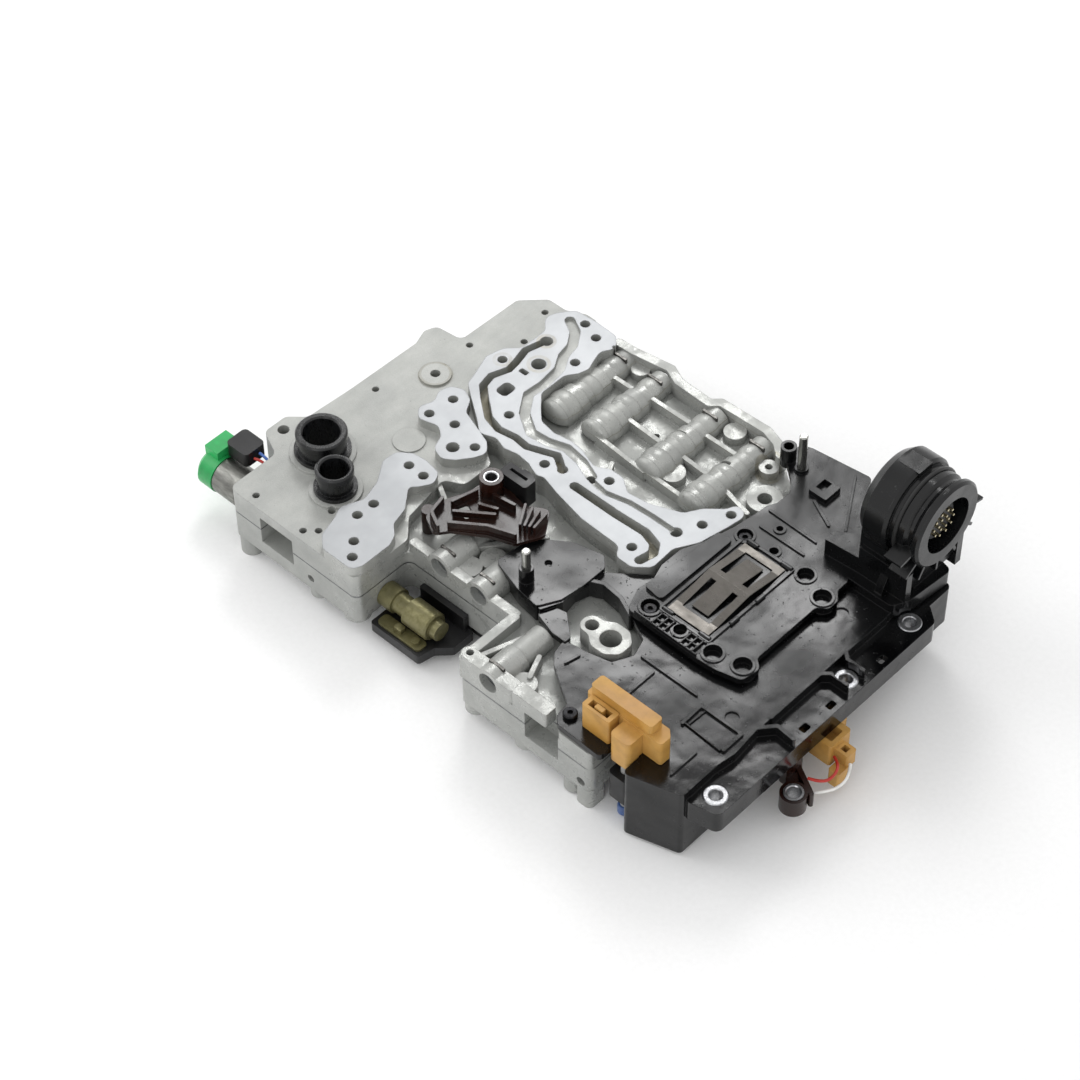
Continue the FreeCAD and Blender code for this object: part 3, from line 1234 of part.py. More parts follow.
def route(points, name, radius):
    """Path of a limp wire: straight runs joined by arcs as large as the runs allow. Prints the radii."""
    corners = [Vector(*point) for point in points]
    edges = []
    radii = []
    start = corners[0]
    for before, here, after in zip(corners, corners[1:], corners[2:]):
        back = (before - here).normalize()
        ahead = (after - here).normalize()
        half = back.getAngle(ahead) / 2
        reach = 0.45 * min(here.distanceToPoint(before), here.distanceToPoint(after))
        bend = reach * math.tan(half)
        middle = here + (back + ahead).normalize() * (bend / math.sin(half) - bend)
        edges.append(Part.LineSegment(start, here + back * reach).toShape())
        edges.append(Part.Arc(here + back * reach, middle, here + ahead * reach).toShape())
        start = here + ahead * reach
        radii.append(round(bend, 2))
    edges.append(Part.LineSegment(start, corners[-1]).toShape())
    path = Part.Wire(edges)
    print(name, "bend radii", radii, "length", round(path.Length, 2))
    item = keep(swept(name, path, radius), name)
    share = item.Shape.Volume / (math.pi * radius ** 2 * path.Length)
    print(name, "volume over section times length", round(share, 4))
    return item


CLIP_WIRE_RED = ((200.3, -24, 24), (206, -28.5, 25.5), (208.5, -36, 25), (205, -42.5, 23),
                 (198.5, -44, 22.2))
CLIP_WIRE_WHITE = ((209.1, -20.5, 22), (213, -26, 22), (214.5, -33, 20.5), (211, -41, 18.5),
                   (205, -45.8, 17))
SOLENOID_WIRE_BLUE = ((-182.3, -95, 47), (-177, -94.4, 46), (-173.8, -93.8, 41), (-174.6, -93.6, 34.5),
                      (-177, -93.6, 28.5), (-178.6, -93, 22))
SOLENOID_WIRE_RED = ((-182.1, -99.5, 46), (-177.5, -97.5, 45.5), (-173.6, -96.6, 41.5), (-173.6, -96.4, 35),
                     (-175.4, -95.4, 28.5), (-174.6, -93.8, 22))


# Solenoids


def left_solenoid():
    """Solenoid at the left end, with its nose in the lower casting."""
    nose, reach = size("solenoid_nose_radius"), size("solenoid_nose_length")
    radius, length = size("solenoid_radius"), size("solenoid_length")
    profile = [(0, -length), (radius, -length), (radius, -8), (radius - 1, -7), (radius - 1, -5),
               (radius, -4), (radius, 0), (nose, 0), (nose, reach - 1), (nose - 1, reach), (0, reach)]
    return keep(turned("left_solenoid", profile, "left_face - deck_seat_gap", "solenoid_y", "solenoid_z",
                       "x"),
                "left_solenoid")


def green_cap():
    """Green moulded cap of the left solenoid, with the socket for its plug."""
    radius = size("solenoid_radius") + 0.6
    start = "left_face - 2 * deck_seat_gap - solenoid_length - cap_length"
    length = size("cap_length")
    profile = [(0, 0), (radius - 3, 0), (radius, 3), (radius, length), (0, length)]
    cap = turned("cap_round", profile, start, "solenoid_y", "solenoid_z", "x")
    socket = box("cap_socket", "cap_length - 3", 17, 13, "%s + 1" % start, "solenoid_y - 3",
                 "solenoid_z + 5")
    return keep(fused("green_cap", [cap, socket]), "green_cap")


def solenoid_plug():
    """Taped plug of the left solenoid."""
    body = new_body("solenoid_plug")
    left = size("left_face") - 2 * size("deck_seat_gap") - size("solenoid_length") - 2
    y = size("solenoid_y")
    top = size("solenoid_z") + size("solenoid_radius")
    pad(body, "case", [rectangle(left, y + 4, -183, y + 20, 3)], top + 1, top + 11)
    return keep(body, "solenoid_plug")


def gold_solenoid():
    """Gold-coloured solenoid in the notch, with its nose against the casting."""
    radius = size("gold_radius")
    profile = [(0, 0), (radius - 1, 0), (radius - 1, 10), (radius - 2.5, 10.5), (radius - 2.5, 20),
               (radius, 20.5), (radius, 38), (radius - 1, 39), (radius - 3, 39), (radius - 3, 44), (0, 44)]
    return keep(turned("gold_solenoid", profile, "notch_left + deck_seat_gap", "gold_y", "gold_z", "x"),
                "gold_solenoid")


def solenoid_clamp():
    """Gold plate beside the solenoid, with the clamp screw's head."""
    body = new_body("solenoid_clamp")
    top = "gold_z - gold_radius - deck_seat_gap"
    pad(body, "plate", [rectangle(-60, -121, -26, -112.5, 3)], top, "%s + 1.5" % top)
    pad(body, "screw", [circle(-32, -116.8, 2.6)], "%s + 1.4" % top, "%s + 3.5" % top)
    pad(body, "tab", [rectangle(-48, -119, -42, -114.5, 1)], "%s + 1.4" % top, "%s + 4.5" % top)
    return keep(body, "solenoid_clamp")


def solenoid_frame():
    """Black frame that carries the gold solenoid and its lead."""
    body = new_body("solenoid_frame")
    top = "gold_z - gold_radius - deck_seat_gap"
    wall = size("notch_wall") - size("deck_seat_gap")
    plan = [(-63, -123), (-24, -123), (-22, -112), (-14, -104), (-14, wall), (-56, wall), (-56, -96),
            (-63, -98)]
    pad(body, "tray", [rounded(plan, 2)], 6, top)
    pad(body, "back", [rectangle(-54, wall - 4, -18, wall, 1)], "%s - 1" % top, 24)
    return keep(body, "solenoid_frame")


def lead_frame():
    """Plastic frame under the castings that leads the solenoids' conductors to the housing."""
    body = new_body("lead_frame")
    plan = [(-48, -86), (12, -86), (12, -76), (84, -74), (116, -60), (116, -44), (84, -60), (-30, -60),
            (-48, -70)]
    pad(body, "strip", [rounded(plan, 4)], "underside - 5", "underside - deck_seat_gap")
    pad(body, "conductors", [strip(((-40, -80), (8, -80)), 2), strip(((-40, -74), (8, -70)), 2)],
        "underside - 6.5", "underside - 4.8")
    return keep(body, "lead_frame")


fill_sheet()
upper_valve_body()
lower_valve_body()
separator_plate()
body_bolts()
oil_pipe("large_pipe")
oil_pipe("small_pipe")
bore_plugs()
plug_clips()
valve_spools()
valve_springs()
electronics_housing()
electronics_cover()
circuit_board()
circuit_components()
connector_insert()
connector_pins()
connector_seal()
leaf_spring()
housing_bushings()
locating_pins()
housing_screws()
sensor_bracket()
bracket_sleeve()
sensor_head()
orange_plug()
plug_cable()
cable_end()
cable_guide()
sensor_arm()
arm_sleeve()
cable_clip()
route(CLIP_WIRE_RED, "clip_wire_red", size("wire_radius"))
route(CLIP_WIRE_WHITE, "clip_wire_white", size("wire_radius"))
left_solenoid()
green_cap()
solenoid_plug()
route(SOLENOID_WIRE_BLUE, "solenoid_wire_blue", size("wire_radius"))
route(SOLENOID_WIRE_RED, "solenoid_wire_red", size("wire_radius"))
gold_solenoid()
solenoid_clamp()
solenoid_frame()
lead_frame()
doc.recompute()

failed = [item.Label for item in doc.Objects if "Invalid" in item.State or "Error" in item.State]
if failed:
    raise RuntimeError("Not built: %s" % ", ".join(failed))
for node in NODES:
    if node.Shape.isNull() or not node.Shape.isValid() or not node.Shape.Solids:
        raise RuntimeError("No sound solid: %s" % node.Label)

os.makedirs("parts", exist_ok=True)
for node in NODES:
    node.Shape.exportStep("parts/%s.step" % node.Label)
print(len(NODES), "nodes written")
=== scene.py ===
import math

import bmesh
import bpy
from mathutils import Matrix, Vector


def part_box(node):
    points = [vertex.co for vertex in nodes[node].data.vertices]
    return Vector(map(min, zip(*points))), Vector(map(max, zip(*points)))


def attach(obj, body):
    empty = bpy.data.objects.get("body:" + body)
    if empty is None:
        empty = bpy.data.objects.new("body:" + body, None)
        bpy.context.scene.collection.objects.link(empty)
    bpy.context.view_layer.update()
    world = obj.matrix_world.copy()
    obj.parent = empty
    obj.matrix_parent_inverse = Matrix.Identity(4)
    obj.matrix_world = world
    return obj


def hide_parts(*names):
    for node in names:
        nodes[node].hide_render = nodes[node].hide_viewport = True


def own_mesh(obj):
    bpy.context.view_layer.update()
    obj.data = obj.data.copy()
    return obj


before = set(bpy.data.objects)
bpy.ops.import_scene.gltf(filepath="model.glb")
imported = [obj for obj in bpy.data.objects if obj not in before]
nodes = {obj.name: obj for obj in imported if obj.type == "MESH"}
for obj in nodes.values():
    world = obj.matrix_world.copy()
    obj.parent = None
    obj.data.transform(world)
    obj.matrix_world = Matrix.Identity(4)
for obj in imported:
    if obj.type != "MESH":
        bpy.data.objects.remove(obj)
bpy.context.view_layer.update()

# Camera
# It stands where the photograph was taken: on the near right, looking down at a little under
# fifty degrees, with a long lens.
AZIMUTH, ELEVATION, ROLL = math.radians(43.95), math.radians(48.07), math.radians(-0.8)
TARGET = Vector((-0.009, -0.037, 0.054))
DISTANCE = 1.7143
FOCAL_LENGTH, SENSOR_WIDTH = 100.0, 36.0
back = Vector((math.sin(AZIMUTH) * math.cos(ELEVATION),
               -math.cos(AZIMUTH) * math.cos(ELEVATION), math.sin(ELEVATION)))
level = Vector((math.cos(AZIMUTH), math.sin(AZIMUTH), 0))
upward = back.cross(level)
right = level * math.cos(ROLL) + upward * math.sin(ROLL)
up = back.cross(right)
lens = bpy.data.cameras.new("photo_camera")
lens.lens = FOCAL_LENGTH
lens.sensor_width = SENSOR_WIDTH
camera = bpy.data.objects.new("photo_camera", lens)
bpy.context.scene.collection.objects.link(camera)
facing = Matrix((right, up, back)).transposed().to_4x4()
camera.matrix_world = Matrix.Translation(TARGET + back * DISTANCE) @ facing
bpy.context.scene.camera = camera

# Sensor and solenoid wires
# Thin stranded copper wires in a plastic skin, each crimped in a plug at both ends, so they bow
# between the two.
MM = 0.001


def linear(colour):
    """An sRGB hex colour as the linear one that the shader works with."""
    parts = [int(colour[place:place + 2], 16) / 255 for place in (1, 3, 5)]
    return [c / 12.92 if c <= 0.04045 else ((c + 0.055) / 1.055) ** 2.4 for c in parts] + [1.0]


def new_material(name):
    """A material with a bare shader and the coordinates that its patterns use."""
    material = bpy.data.materials.new(name)
    material.use_nodes = True
    shader = material.node_tree.nodes["Principled BSDF"]
    place = material.node_tree.nodes.new("ShaderNodeTexCoord").outputs["Object"]
    return material, shader, place


def feed(material, node, **inputs):
    """Give each input a value or a link; where inputs share a name, _6 stands for number 6."""
    for name, value in inputs.items():
        key = int(name[1:]) if name[1:].isdigit() else name.replace("_", " ")
        if isinstance(value, bpy.types.NodeSocket):
            material.node_tree.links.new(value, node.inputs[key])
        else:
            node.inputs[key].default_value = value


def add(material, kind, settings=None, result=0, **inputs):
    """Add a node with its settings and inputs, and hand back the result that is wanted of it."""
    node = material.node_tree.nodes.new(kind)
    for name, value in (settings or {}).items():
        setattr(node, name, value)
    feed(material, node, **inputs)
    return node.outputs[result]


def per(size):
    """How many times a pattern of a size in millimetres repeats in a metre."""
    return 1000.0 / size


def speckle(material, place, size, low, high, detail=4.0):
    """Noise of a real size, stretched between two levels to a mask from 0 to 1."""
    noise = add(material, "ShaderNodeTexNoise", Vector=place, Scale=per(size), Detail=detail,
                Roughness=0.6)
    return add(material, "ShaderNodeMapRange", Value=noise, From_Min=low, From_Max=high)


PRODUCT = {"operation": "MULTIPLY", "use_clamp": True}
SUM = {"operation": "ADD", "use_clamp": True}
DIFFERENCE = {"operation": "SUBTRACT", "use_clamp": True}


def stained(material, base, colour, mask, share=None):
    """A base colour with another over it where a mask shows, or where a share of it does."""
    if share is not None:
        mask = add(material, "ShaderNodeMath", PRODUCT, _0=mask, _1=share)
    return add(material, "ShaderNodeMix", {"data_type": "RGBA"}, 2, Factor=mask, _6=base,
               _7=colour)


def relief(material, height, depth, strength, over=None, edge=0.0):
    """A bump of a real depth in millimetres, on another bump or on edges of a real radius."""
    if edge:
        over = add(material, "ShaderNodeBevel", {"samples": 4}, Radius=edge * MM)
    return add(material, "ShaderNodeBump", Height=height, Distance=depth * MM, Strength=strength,
               Normal=over)


OIL_PATCH, GRIME_PATCH = 30.0, 9.0
GRIME, GRIME_SHARE = "#1C1A15", 0.22
UNDER_OIL, WHERE_DRY = 0.75, 1.3
PLASTIC_IOR = 1.5


def moulded(name, colour, lift, roughness, grain=0.4, depth=0.03, edge=0.4):
    """A moulded plastic: eroded-mould grain, an oily shine with dry patches, and soft edges."""
    material, shader, place = new_material(name)
    dry = speckle(material, place, OIL_PATCH, low=0.4, high=0.6, detail=3.0)
    fine = speckle(material, place, grain, low=0.3, high=0.7)
    grime = speckle(material, place, GRIME_PATCH, low=0.45, high=0.75, detail=5.0)
    base = stained(material, linear(colour), linear(lift), dry)
    base = stained(material, base, linear(GRIME), grime, GRIME_SHARE)
    gloss = add(material, "ShaderNodeMapRange", Value=dry, To_Min=roughness * UNDER_OIL,
                To_Max=roughness * WHERE_DRY)
    feed(material, shader, Base_Color=base, Roughness=gloss, IOR=PLASTIC_IOR,
         Normal=relief(material, fine, depth, strength=0.5, edge=edge))
    return material


WIRE_RADIUS = 0.9
WIRE_SIDES, WIRE_STEPS = 4, 24


def wire(name, material, points):
    """A free wire that bows between its two plugs."""
    curve = bpy.data.curves.new(name, "CURVE")
    curve.dimensions = "3D"
    curve.bevel_depth = WIRE_RADIUS * MM
    curve.bevel_resolution = WIRE_SIDES
    curve.resolution_u = WIRE_STEPS
    curve.use_fill_caps = True
    line = curve.splines.new("NURBS")
    line.points.add(len(points) - 1)
    for point, place in zip(line.points, points):
        point.co = [value * MM for value in place] + [1.0]
    line.order_u = 3
    line.use_endpoint_u = True
    curve.materials.append(material)
    piece = bpy.data.objects.new(name, curve)
    bpy.context.scene.collection.objects.link(piece)
    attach(piece, "valve_unit")
    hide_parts(name.replace("_lead", ""))


# Extruded skins, smoother than a moulding, so a thin bright line runs along each wire.
red_skin = moulded("red_wire_skin", "#B0231B", "#C53A30", 0.34, 0.8, 0.01)
white_skin = moulded("white_wire_skin", "#DEDEDA", "#EEEEEA", 0.36, 0.8, 0.01)
blue_skin = moulded("blue_wire_skin", "#3F66B4", "#5A82CC", 0.34, 0.8, 0.01)
wire("clip_wire_red_lead", red_skin,
     ((200.3, -24, 24), (206, -27, 25.8), (209.6, -34.5, 25.6), (207.4, -42, 23.8),
      (198.5, -44, 22.2)))
wire("clip_wire_white_lead", white_skin,
     ((209.1, -20.5, 22), (213, -26, 22), (214.5, -33, 20.5), (211, -41, 18.5),
      (205, -45.8, 17)))
wire("solenoid_wire_blue_lead", blue_skin,
     ((-182.3, -95, 47), (-177, -94.4, 46), (-173.8, -93.8, 41), (-174.6, -93.6, 34.5),
      (-177, -93.6, 28.5), (-178.6, -93, 22)))
wire("solenoid_wire_red_lead", red_skin,
     ((-182.1, -99.5, 46), (-177.5, -97.5, 45.5), (-173.6, -96.6, 41.5), (-173.6, -96.4, 35),
      (-175.4, -95.4, 28.5), (-174.6, -93.8, 22)))


def dress(material, *names):
    """Give CAD nodes a material in place of their plain one."""
    for name in names:
        nodes[name].data.materials.clear()
        nodes[name].data.materials.append(material)


def at_height(material, height, centre, half):
    """A mask of the surfaces within a small distance of a height, in millimetres."""
    return add(material, "ShaderNodeMath", {"operation": "COMPARE"}, _0=height, _1=centre * MM,
               _2=half * MM)


def oil_ring(material, place, x, y, reach):
    """A mask of the round stain that oil left about a hole, in millimetres."""
    flat = add(material, "ShaderNodeVectorMath", {"operation": "MULTIPLY"}, _0=place,
               _1=(1.0, 1.0, 0.0))
    away = add(material, "ShaderNodeVectorMath", {"operation": "DISTANCE"}, "Value", _0=flat,
               _1=(x * MM, y * MM, 0.0))
    return add(material, "ShaderNodeMath", {"operation": "COMPARE"}, _0=away, _1=reach * MM,
               _2=RING_HALF_WIDTH * MM)


LAND_TOP, CHANNEL_FLOOR = 59.0, 50.0
RING_HALF_WIDTH = 1.1
LARGE_RING = (-148.0, 18.5, 9.6)
SMALL_RINGS = ((-114.0, 80.0, 5.2), (-104.0, 62.6, 6.4), (-122.7, 50.6, 5.0), (46.6, 99.4, 7.0))
# Where a mask or the painted pocket shade starts and is full, in metres.
POCKET_SHADE_SPAN, BELOW_LANDS = (0.0505, 0.0435), (0.0584, 0.057)
PAST_WEB, PAST_LEFT_END = (-0.031, -0.029), (-0.1, -0.085)

# Die-cast aluminium gives a pale satin grey with soft clouds; the melt's flow shows as faint
# streaks and the odd pore as a dark dot, and the pockets are darkened with painted shade.
cast, cast_shader, place = new_material("die_cast_aluminium")
axes = add(cast, "ShaderNodeSeparateXYZ", Vector=place).node.outputs
milled = at_height(cast, axes["Z"], LAND_TOP, 0.2)
grain = speckle(cast, place, size=0.8, low=0.35, high=0.7)
cloud = speckle(cast, place, size=24.0, low=0.36, high=0.64, detail=3.0)
drawn_out = add(cast, "ShaderNodeMapping", Vector=place, Scale=Vector((1.0, 0.35, 1.0)))
flow = speckle(cast, drawn_out, size=7.0, low=0.3, high=0.75)
pores = speckle(cast, place, size=1.5, low=0.67, high=0.73, detail=6.0)
skin = stained(cast, linear("#A9AAA7"), linear("#B8B9B5"), cloud)
skin = stained(cast, skin, linear("#8E908C"), flow, 0.35)
skin = stained(cast, skin, linear("#7F817E"), grain, 0.25)
skin = stained(cast, skin, linear("#565754"), pores, 0.55)
# Painted shade: the casting's colour turns a darker grey lower down in the pockets.
pocket_painted_shade = add(cast, "ShaderNodeMapRange", Value=axes["Z"], From_Min=POCKET_SHADE_SPAN[0],
                From_Max=POCKET_SHADE_SPAN[1], To_Max=0.22)
skin = stained(cast, skin, linear("#858885"), pocket_painted_shade)

# The milled lands are a cooler and evener grey. Oil left faint brown rings about some holes.
bright = stained(cast, linear("#989A9C"), linear("#A3A5A7"), cloud)
bright = stained(cast, bright, linear("#8C8F92"), flow, 0.25)
colour = stained(cast, skin, bright, milled)
old_oil = stained(cast, linear("#8A7C4E"), linear("#5C553D"), cloud)
rings_left = oil_ring(cast, place, *LARGE_RING)
for small_ring in SMALL_RINGS:
    rings_left = add(cast, "ShaderNodeMath", SUM, _0=rings_left,
                     _1=oil_ring(cast, place, *small_ring))
faintly = add(cast, "ShaderNodeMapRange", Value=flow, To_Min=0.1, To_Max=0.45)
colour = stained(cast, colour, old_oil, rings_left, faintly)

# Old oil lies brown on the floor of the far channels.
pooled = add(cast, "ShaderNodeMapRange", Value=cloud, To_Min=0.35, To_Max=0.9)
on_floor = at_height(cast, axes["Z"], CHANNEL_FLOOR, 0.12)
channel_oil = add(cast, "ShaderNodeMath", PRODUCT, _0=on_floor, _1=pooled)
on_far_side = add(cast, "ShaderNodeMapRange", Value=axes["Y"], From_Min=PAST_WEB[0],
                  From_Max=PAST_WEB[1])
channel_oil = add(cast, "ShaderNodeMath", PRODUCT, _0=channel_oil, _1=on_far_side)
colour = stained(cast, colour, old_oil, channel_oil)

# Fresh oil wets the cast skin in patches, which shine; it has run off the lands and the left end.
wet_patches = speckle(cast, place, size=13.0, low=0.44, high=0.58)
off_lands = add(cast, "ShaderNodeMapRange", Value=axes["Z"], From_Min=BELOW_LANDS[0],
                From_Max=BELOW_LANDS[1])
wet = add(cast, "ShaderNodeMath", PRODUCT, _0=wet_patches, _1=off_lands)
off_left_end = add(cast, "ShaderNodeMapRange", Value=axes["X"], From_Min=PAST_LEFT_END[0],
                   From_Max=PAST_LEFT_END[1])
wet = add(cast, "ShaderNodeMath", PRODUCT, _0=wet, _1=off_left_end)
dull = add(cast, "ShaderNodeMapRange", Value=milled, To_Min=0.5, To_Max=0.36)
wet_shine = add(cast, "ShaderNodeMath", PRODUCT, _0=wet, _1=0.3)
unmilled = add(cast, "ShaderNodeMath", DIFFERENCE, _0=1.0, _1=milled)
rough_skin = add(cast, "ShaderNodeMath", PRODUCT, _0=grain, _1=unmilled)
feed(cast, cast_shader, Base_Color=colour, Metallic=0.32,
     Roughness=add(cast, "ShaderNodeMath", DIFFERENCE, _0=dull, _1=wet_shine),
     Normal=relief(cast, rough_skin, depth=0.1, strength=0.5, edge=0.7))
dress(cast, "upper_valve_body", "lower_valve_body")


def make_piece(name, mesh, material):
    """Turn a finished mesh into a piece that rides on the unit."""
    bmesh.ops.recalc_face_normals(mesh, faces=mesh.faces)
    data = bpy.data.meshes.new(name)
    mesh.to_mesh(data)
    mesh.free()
    data.materials.append(material)
    piece = bpy.data.objects.new(name, data)
    bpy.context.scene.collection.objects.link(piece)
    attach(piece, "valve_unit")
    return piece


# Bore rings
# The walls of the four far bores are cast: each swells in three soft bands, where an oil port
# needs a thick wall, and has a rounded end. Their lower half is one with the web.
BORE_HEIGHT, BORE_END = 45.5, 112.0
BORE_STARTS = ((-76.0, 47.0), (-47.5, 52.0), (-3.5, 50.0), (33.0, 47.0))
WALL_STEPS = ((0.3, 11.1), (0.62, 9.8), (1.0, 8.5))
BANDS = ((0.13, 9.0, 0.9), (0.45, 8.0, 1.0), (0.8, 9.5, 0.8))
BAND_STEPS, NOSE_STEPS, ROUND_STEPS = 12, 10, 48
NOSE_REACH, ROOT, SUNK, FULLNESS = 5.0, 1.0, 0.05, 0.8
SAME_PLACE = 1e-6


def spin_over_bore(mesh, x, y, shape):
    """Turn a closed outline of radii and lengths half round a bore that lies along the width."""
    centre = Vector((x, y, BORE_HEIGHT)) * MM
    corners = [mesh.verts.new(centre + Vector((radius, along, 0)) * MM) for radius, along in shape]
    side = mesh.faces.new(corners)
    bmesh.ops.spin(mesh, geom=[side] + side.edges[:] + corners, cent=centre, axis=(0, -1, 0),
                   angle=math.pi, steps=ROUND_STEPS)


def add_bore_ring(mesh, x, y, wall, length, rise):
    """A soft band round a bore, sunk a little into its wall."""
    swell = [(wall - SUNK + rise * math.sin(math.pi * step / BAND_STEPS) ** FULLNESS,
              length * (step / BAND_STEPS - 0.5)) for step in range(BAND_STEPS + 1)]
    foot = wall - ROOT
    spin_over_bore(mesh, x, y, [(foot, -length / 2)] + swell + [(foot, length / 2)])


def add_bore_nose(mesh, x, y, wall):
    """The rounded end of a bore's wall, where it runs down into the web."""
    turns = [math.pi * step / (2 * NOSE_STEPS) for step in range(NOSE_STEPS + 1)]
    shape = [(wall * math.cos(turn), -NOSE_REACH * math.sin(turn)) for turn in turns]
    spin_over_bore(mesh, x, y, shape + [(0, ROOT), (wall, ROOT)])
    bmesh.ops.remove_doubles(mesh, verts=mesh.verts, dist=SAME_PLACE)


rings = bmesh.new()
for bore_x, bore_start in BORE_STARTS:
    for share, length, rise in BANDS:
        wall = next(radius for end, radius in WALL_STEPS if share < end)
        middle = bore_start + share * (BORE_END - bore_start)
        add_bore_ring(rings, bore_x, middle, wall, length, rise)
    add_bore_nose(rings, bore_x, bore_start, WALL_STEPS[0][1])
for face in rings.faces:
    face.smooth = True
make_piece("bore_rings", rings, cast)

# Separator plate
# A flat sheet of cold-rolled steel, stamped and clamped between the castings. Only its grey
# edge shows, a dark line round the unit.
steel, steel_shader, place = new_material("rolled_steel")
mottle = speckle(steel, place, size=3.0, low=0.3, high=0.7)
feed(steel, steel_shader, Metallic=0.9, Roughness=0.46,
     Base_Color=stained(steel, linear("#5F6061"), linear("#848587"), mottle))
dress(steel, "separator_plate")

# Valve parts
# Spools and plugs are turned from aluminium and hard anodised; the clips are stamped from sheet
# steel. The casting bolts are zinc plated, and the housing's screws have a black oxide skin.
DULL_PATCH, DULL_SHARE = 6.0, 0.4
OILY_GREY = "#3B3934"
IN_GROOVES, ON_CRESTS = 1.25, 0.8


def metal(name, dark, light, roughness, streak=2.0, along=(1.0, 1.0, 1.0), shine=0.95):
    """A turned or ground metal: streaks along the tool's path and dull patches of old oil."""
    material, shader, place = new_material(name)
    stretched = add(material, "ShaderNodeMapping", Vector=place, Scale=Vector(along))
    streaks = speckle(material, stretched, streak, low=0.3, high=0.7)
    patches = speckle(material, place, DULL_PATCH, low=0.45, high=0.8, detail=5.0)
    base = stained(material, linear(dark), linear(light), streaks)
    base = stained(material, base, linear(OILY_GREY), patches, DULL_SHARE)
    gloss = add(material, "ShaderNodeMapRange", Value=streaks, To_Min=roughness * IN_GROOVES,
                To_Max=roughness * ON_CRESTS)
    feed(material, shader, Base_Color=base, Metallic=shine, Roughness=gloss,
         Normal=relief(material, streaks, depth=0.02, strength=0.4, edge=0.25))
    return material


# Anodising gives a dark, even grey; zinc is paler, and black oxide nearly black with a sheen.
dress(metal("hard_anodised_aluminium", "#7C7E80", "#A6A8AA", 0.34, 0.8, (1.0, 4.0, 1.0)),
      "bore_plugs", *["valve_spool_%d" % number for number in range(1, 8)])
dress(metal("stamped_steel", "#4B4A48", "#7A7875", 0.38), "plug_clips")
dress(metal("zinc_plated_steel", "#8F9092", "#B5B6B8", 0.34, 1.2), "body_bolts")
dress(metal("black_oxide_steel", "#19191A", "#343436", 0.36, 1.2), "housing_screws")

# Valve springs
# Coiled from drawn steel wire, smooth and evenly grey. Each stands between its plug and its
# spool; the real spring shortens by the spool's travel, and this coil keeps the CAD spring's
# length.
COIL_RADIUS, COIL_WIRE, COIL_TURNS = 5.55, 0.45, 4
COIL_WIRE_SIDES, TURN_STEPS = 10, 24
PLUGGED_ON_FAR_SIDE = (1, 2, 3, 4)
spring_wire = metal("spring_steel_wire", "#7A7B7D", "#A0A1A3", 0.32)
for number in range(1, 8):
    low, high = (Vector(corner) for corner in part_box("valve_spring_%d" % number))
    fixed, free = (high.y, low.y) if number in PLUGGED_ON_FAR_SIDE else (low.y, high.y)
    middle = (low + high) / 2
    margin = math.copysign(COIL_WIRE * MM, free - fixed)
    start = Vector((middle.x, fixed + margin, middle.z))
    steps = COIL_TURNS * TURN_STEPS
    rise = Vector((0, (free - fixed - 2 * margin) / steps, 0))
    coil = bmesh.new()
    wire_end = Matrix.Translation(start + Vector((COIL_RADIUS * MM, 0, 0)))
    bmesh.ops.create_circle(coil, cap_ends=True, segments=COIL_WIRE_SIDES, radius=COIL_WIRE * MM,
                            matrix=wire_end)
    bmesh.ops.spin(coil, geom=coil.verts[:] + coil.edges[:] + coil.faces[:], cent=start,
                   axis=(0, 1, 0), dvec=rise, angle=2 * math.pi * COIL_TURNS, steps=steps)
    for face in coil.faces:
        face.smooth = len(face.verts) == 4
    piece = make_piece("valve_coil_%d" % number, coil, spring_wire)
    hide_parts("valve_spring_%d" % number)
    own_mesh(piece)

# Oil pipes
# Tubes of black glass-filled nylon, pressed into the casting. They are glossy with oil, with long
# satin streaks where it has drained away.
pipe_black, pipe_shader, place = new_material("oiled_black_nylon")
downward = add(pipe_black, "ShaderNodeMapping", Vector=place, Scale=Vector((1.0, 1.0, 0.3)))
drained = speckle(pipe_black, downward, size=5.0, low=0.42, high=0.62)
fine = speckle(pipe_black, place, size=0.6, low=0.3, high=0.7)
feed(pipe_black, pipe_shader,
     Base_Color=stained(pipe_black, linear("#0A0A0B"), linear("#17181A"), drained),
     Roughness=add(pipe_black, "ShaderNodeMapRange", Value=drained, To_Min=0.16, To_Max=0.4),
     Normal=relief(pipe_black, fine, depth=0.04, strength=0.5, edge=0.5))
dress(pipe_black, "large_pipe", "small_pipe")

# Electronics housing
# One big moulding of glass-filled nylon. An oil film lies on it in broad patches that mirror the
# light, with a dull skin between them and small drops where the film has broken up.
SWELL_LENGTH, SWELL_DEPTH = 34.0, 1.3
housing_black, housing_shader, place = new_material("oil_filmed_nylon")
film = speckle(housing_black, place, size=60.0, low=0.4, high=0.62, detail=2.5)
drops = speckle(housing_black, place, size=2.6, low=0.66, high=0.7, detail=2.0)
drops = add(housing_black, "ShaderNodeMath", PRODUCT, _0=drops, _1=film)
swell = add(housing_black, "ShaderNodeTexNoise", Vector=place, Scale=per(SWELL_LENGTH), Detail=2.5)
fine = speckle(housing_black, place, size=0.5, low=0.3, high=0.7)
filmed = add(housing_black, "ShaderNodeMapRange", Value=film, To_Min=0.3, To_Max=0.09)
duller = add(housing_black, "ShaderNodeMath", PRODUCT, _0=drops, _1=0.3)
surface = relief(housing_black, fine, depth=0.02, strength=0.5, edge=0.5)
surface = relief(housing_black, swell, SWELL_DEPTH, strength=1.0, over=surface)
surface = relief(housing_black, drops, depth=0.06, strength=0.8, over=surface)
feed(housing_black, housing_shader, Normal=surface,
     Base_Color=stained(housing_black, linear("#0D0E0F"), linear("#060607"), film),
     Roughness=add(housing_black, "ShaderNodeMath", SUM, _0=filmed, _1=duller),
     IOR=add(housing_black, "ShaderNodeMapRange", Value=film, To_Min=1.42, To_Max=1.5))
dress(housing_black, "electronics_housing")

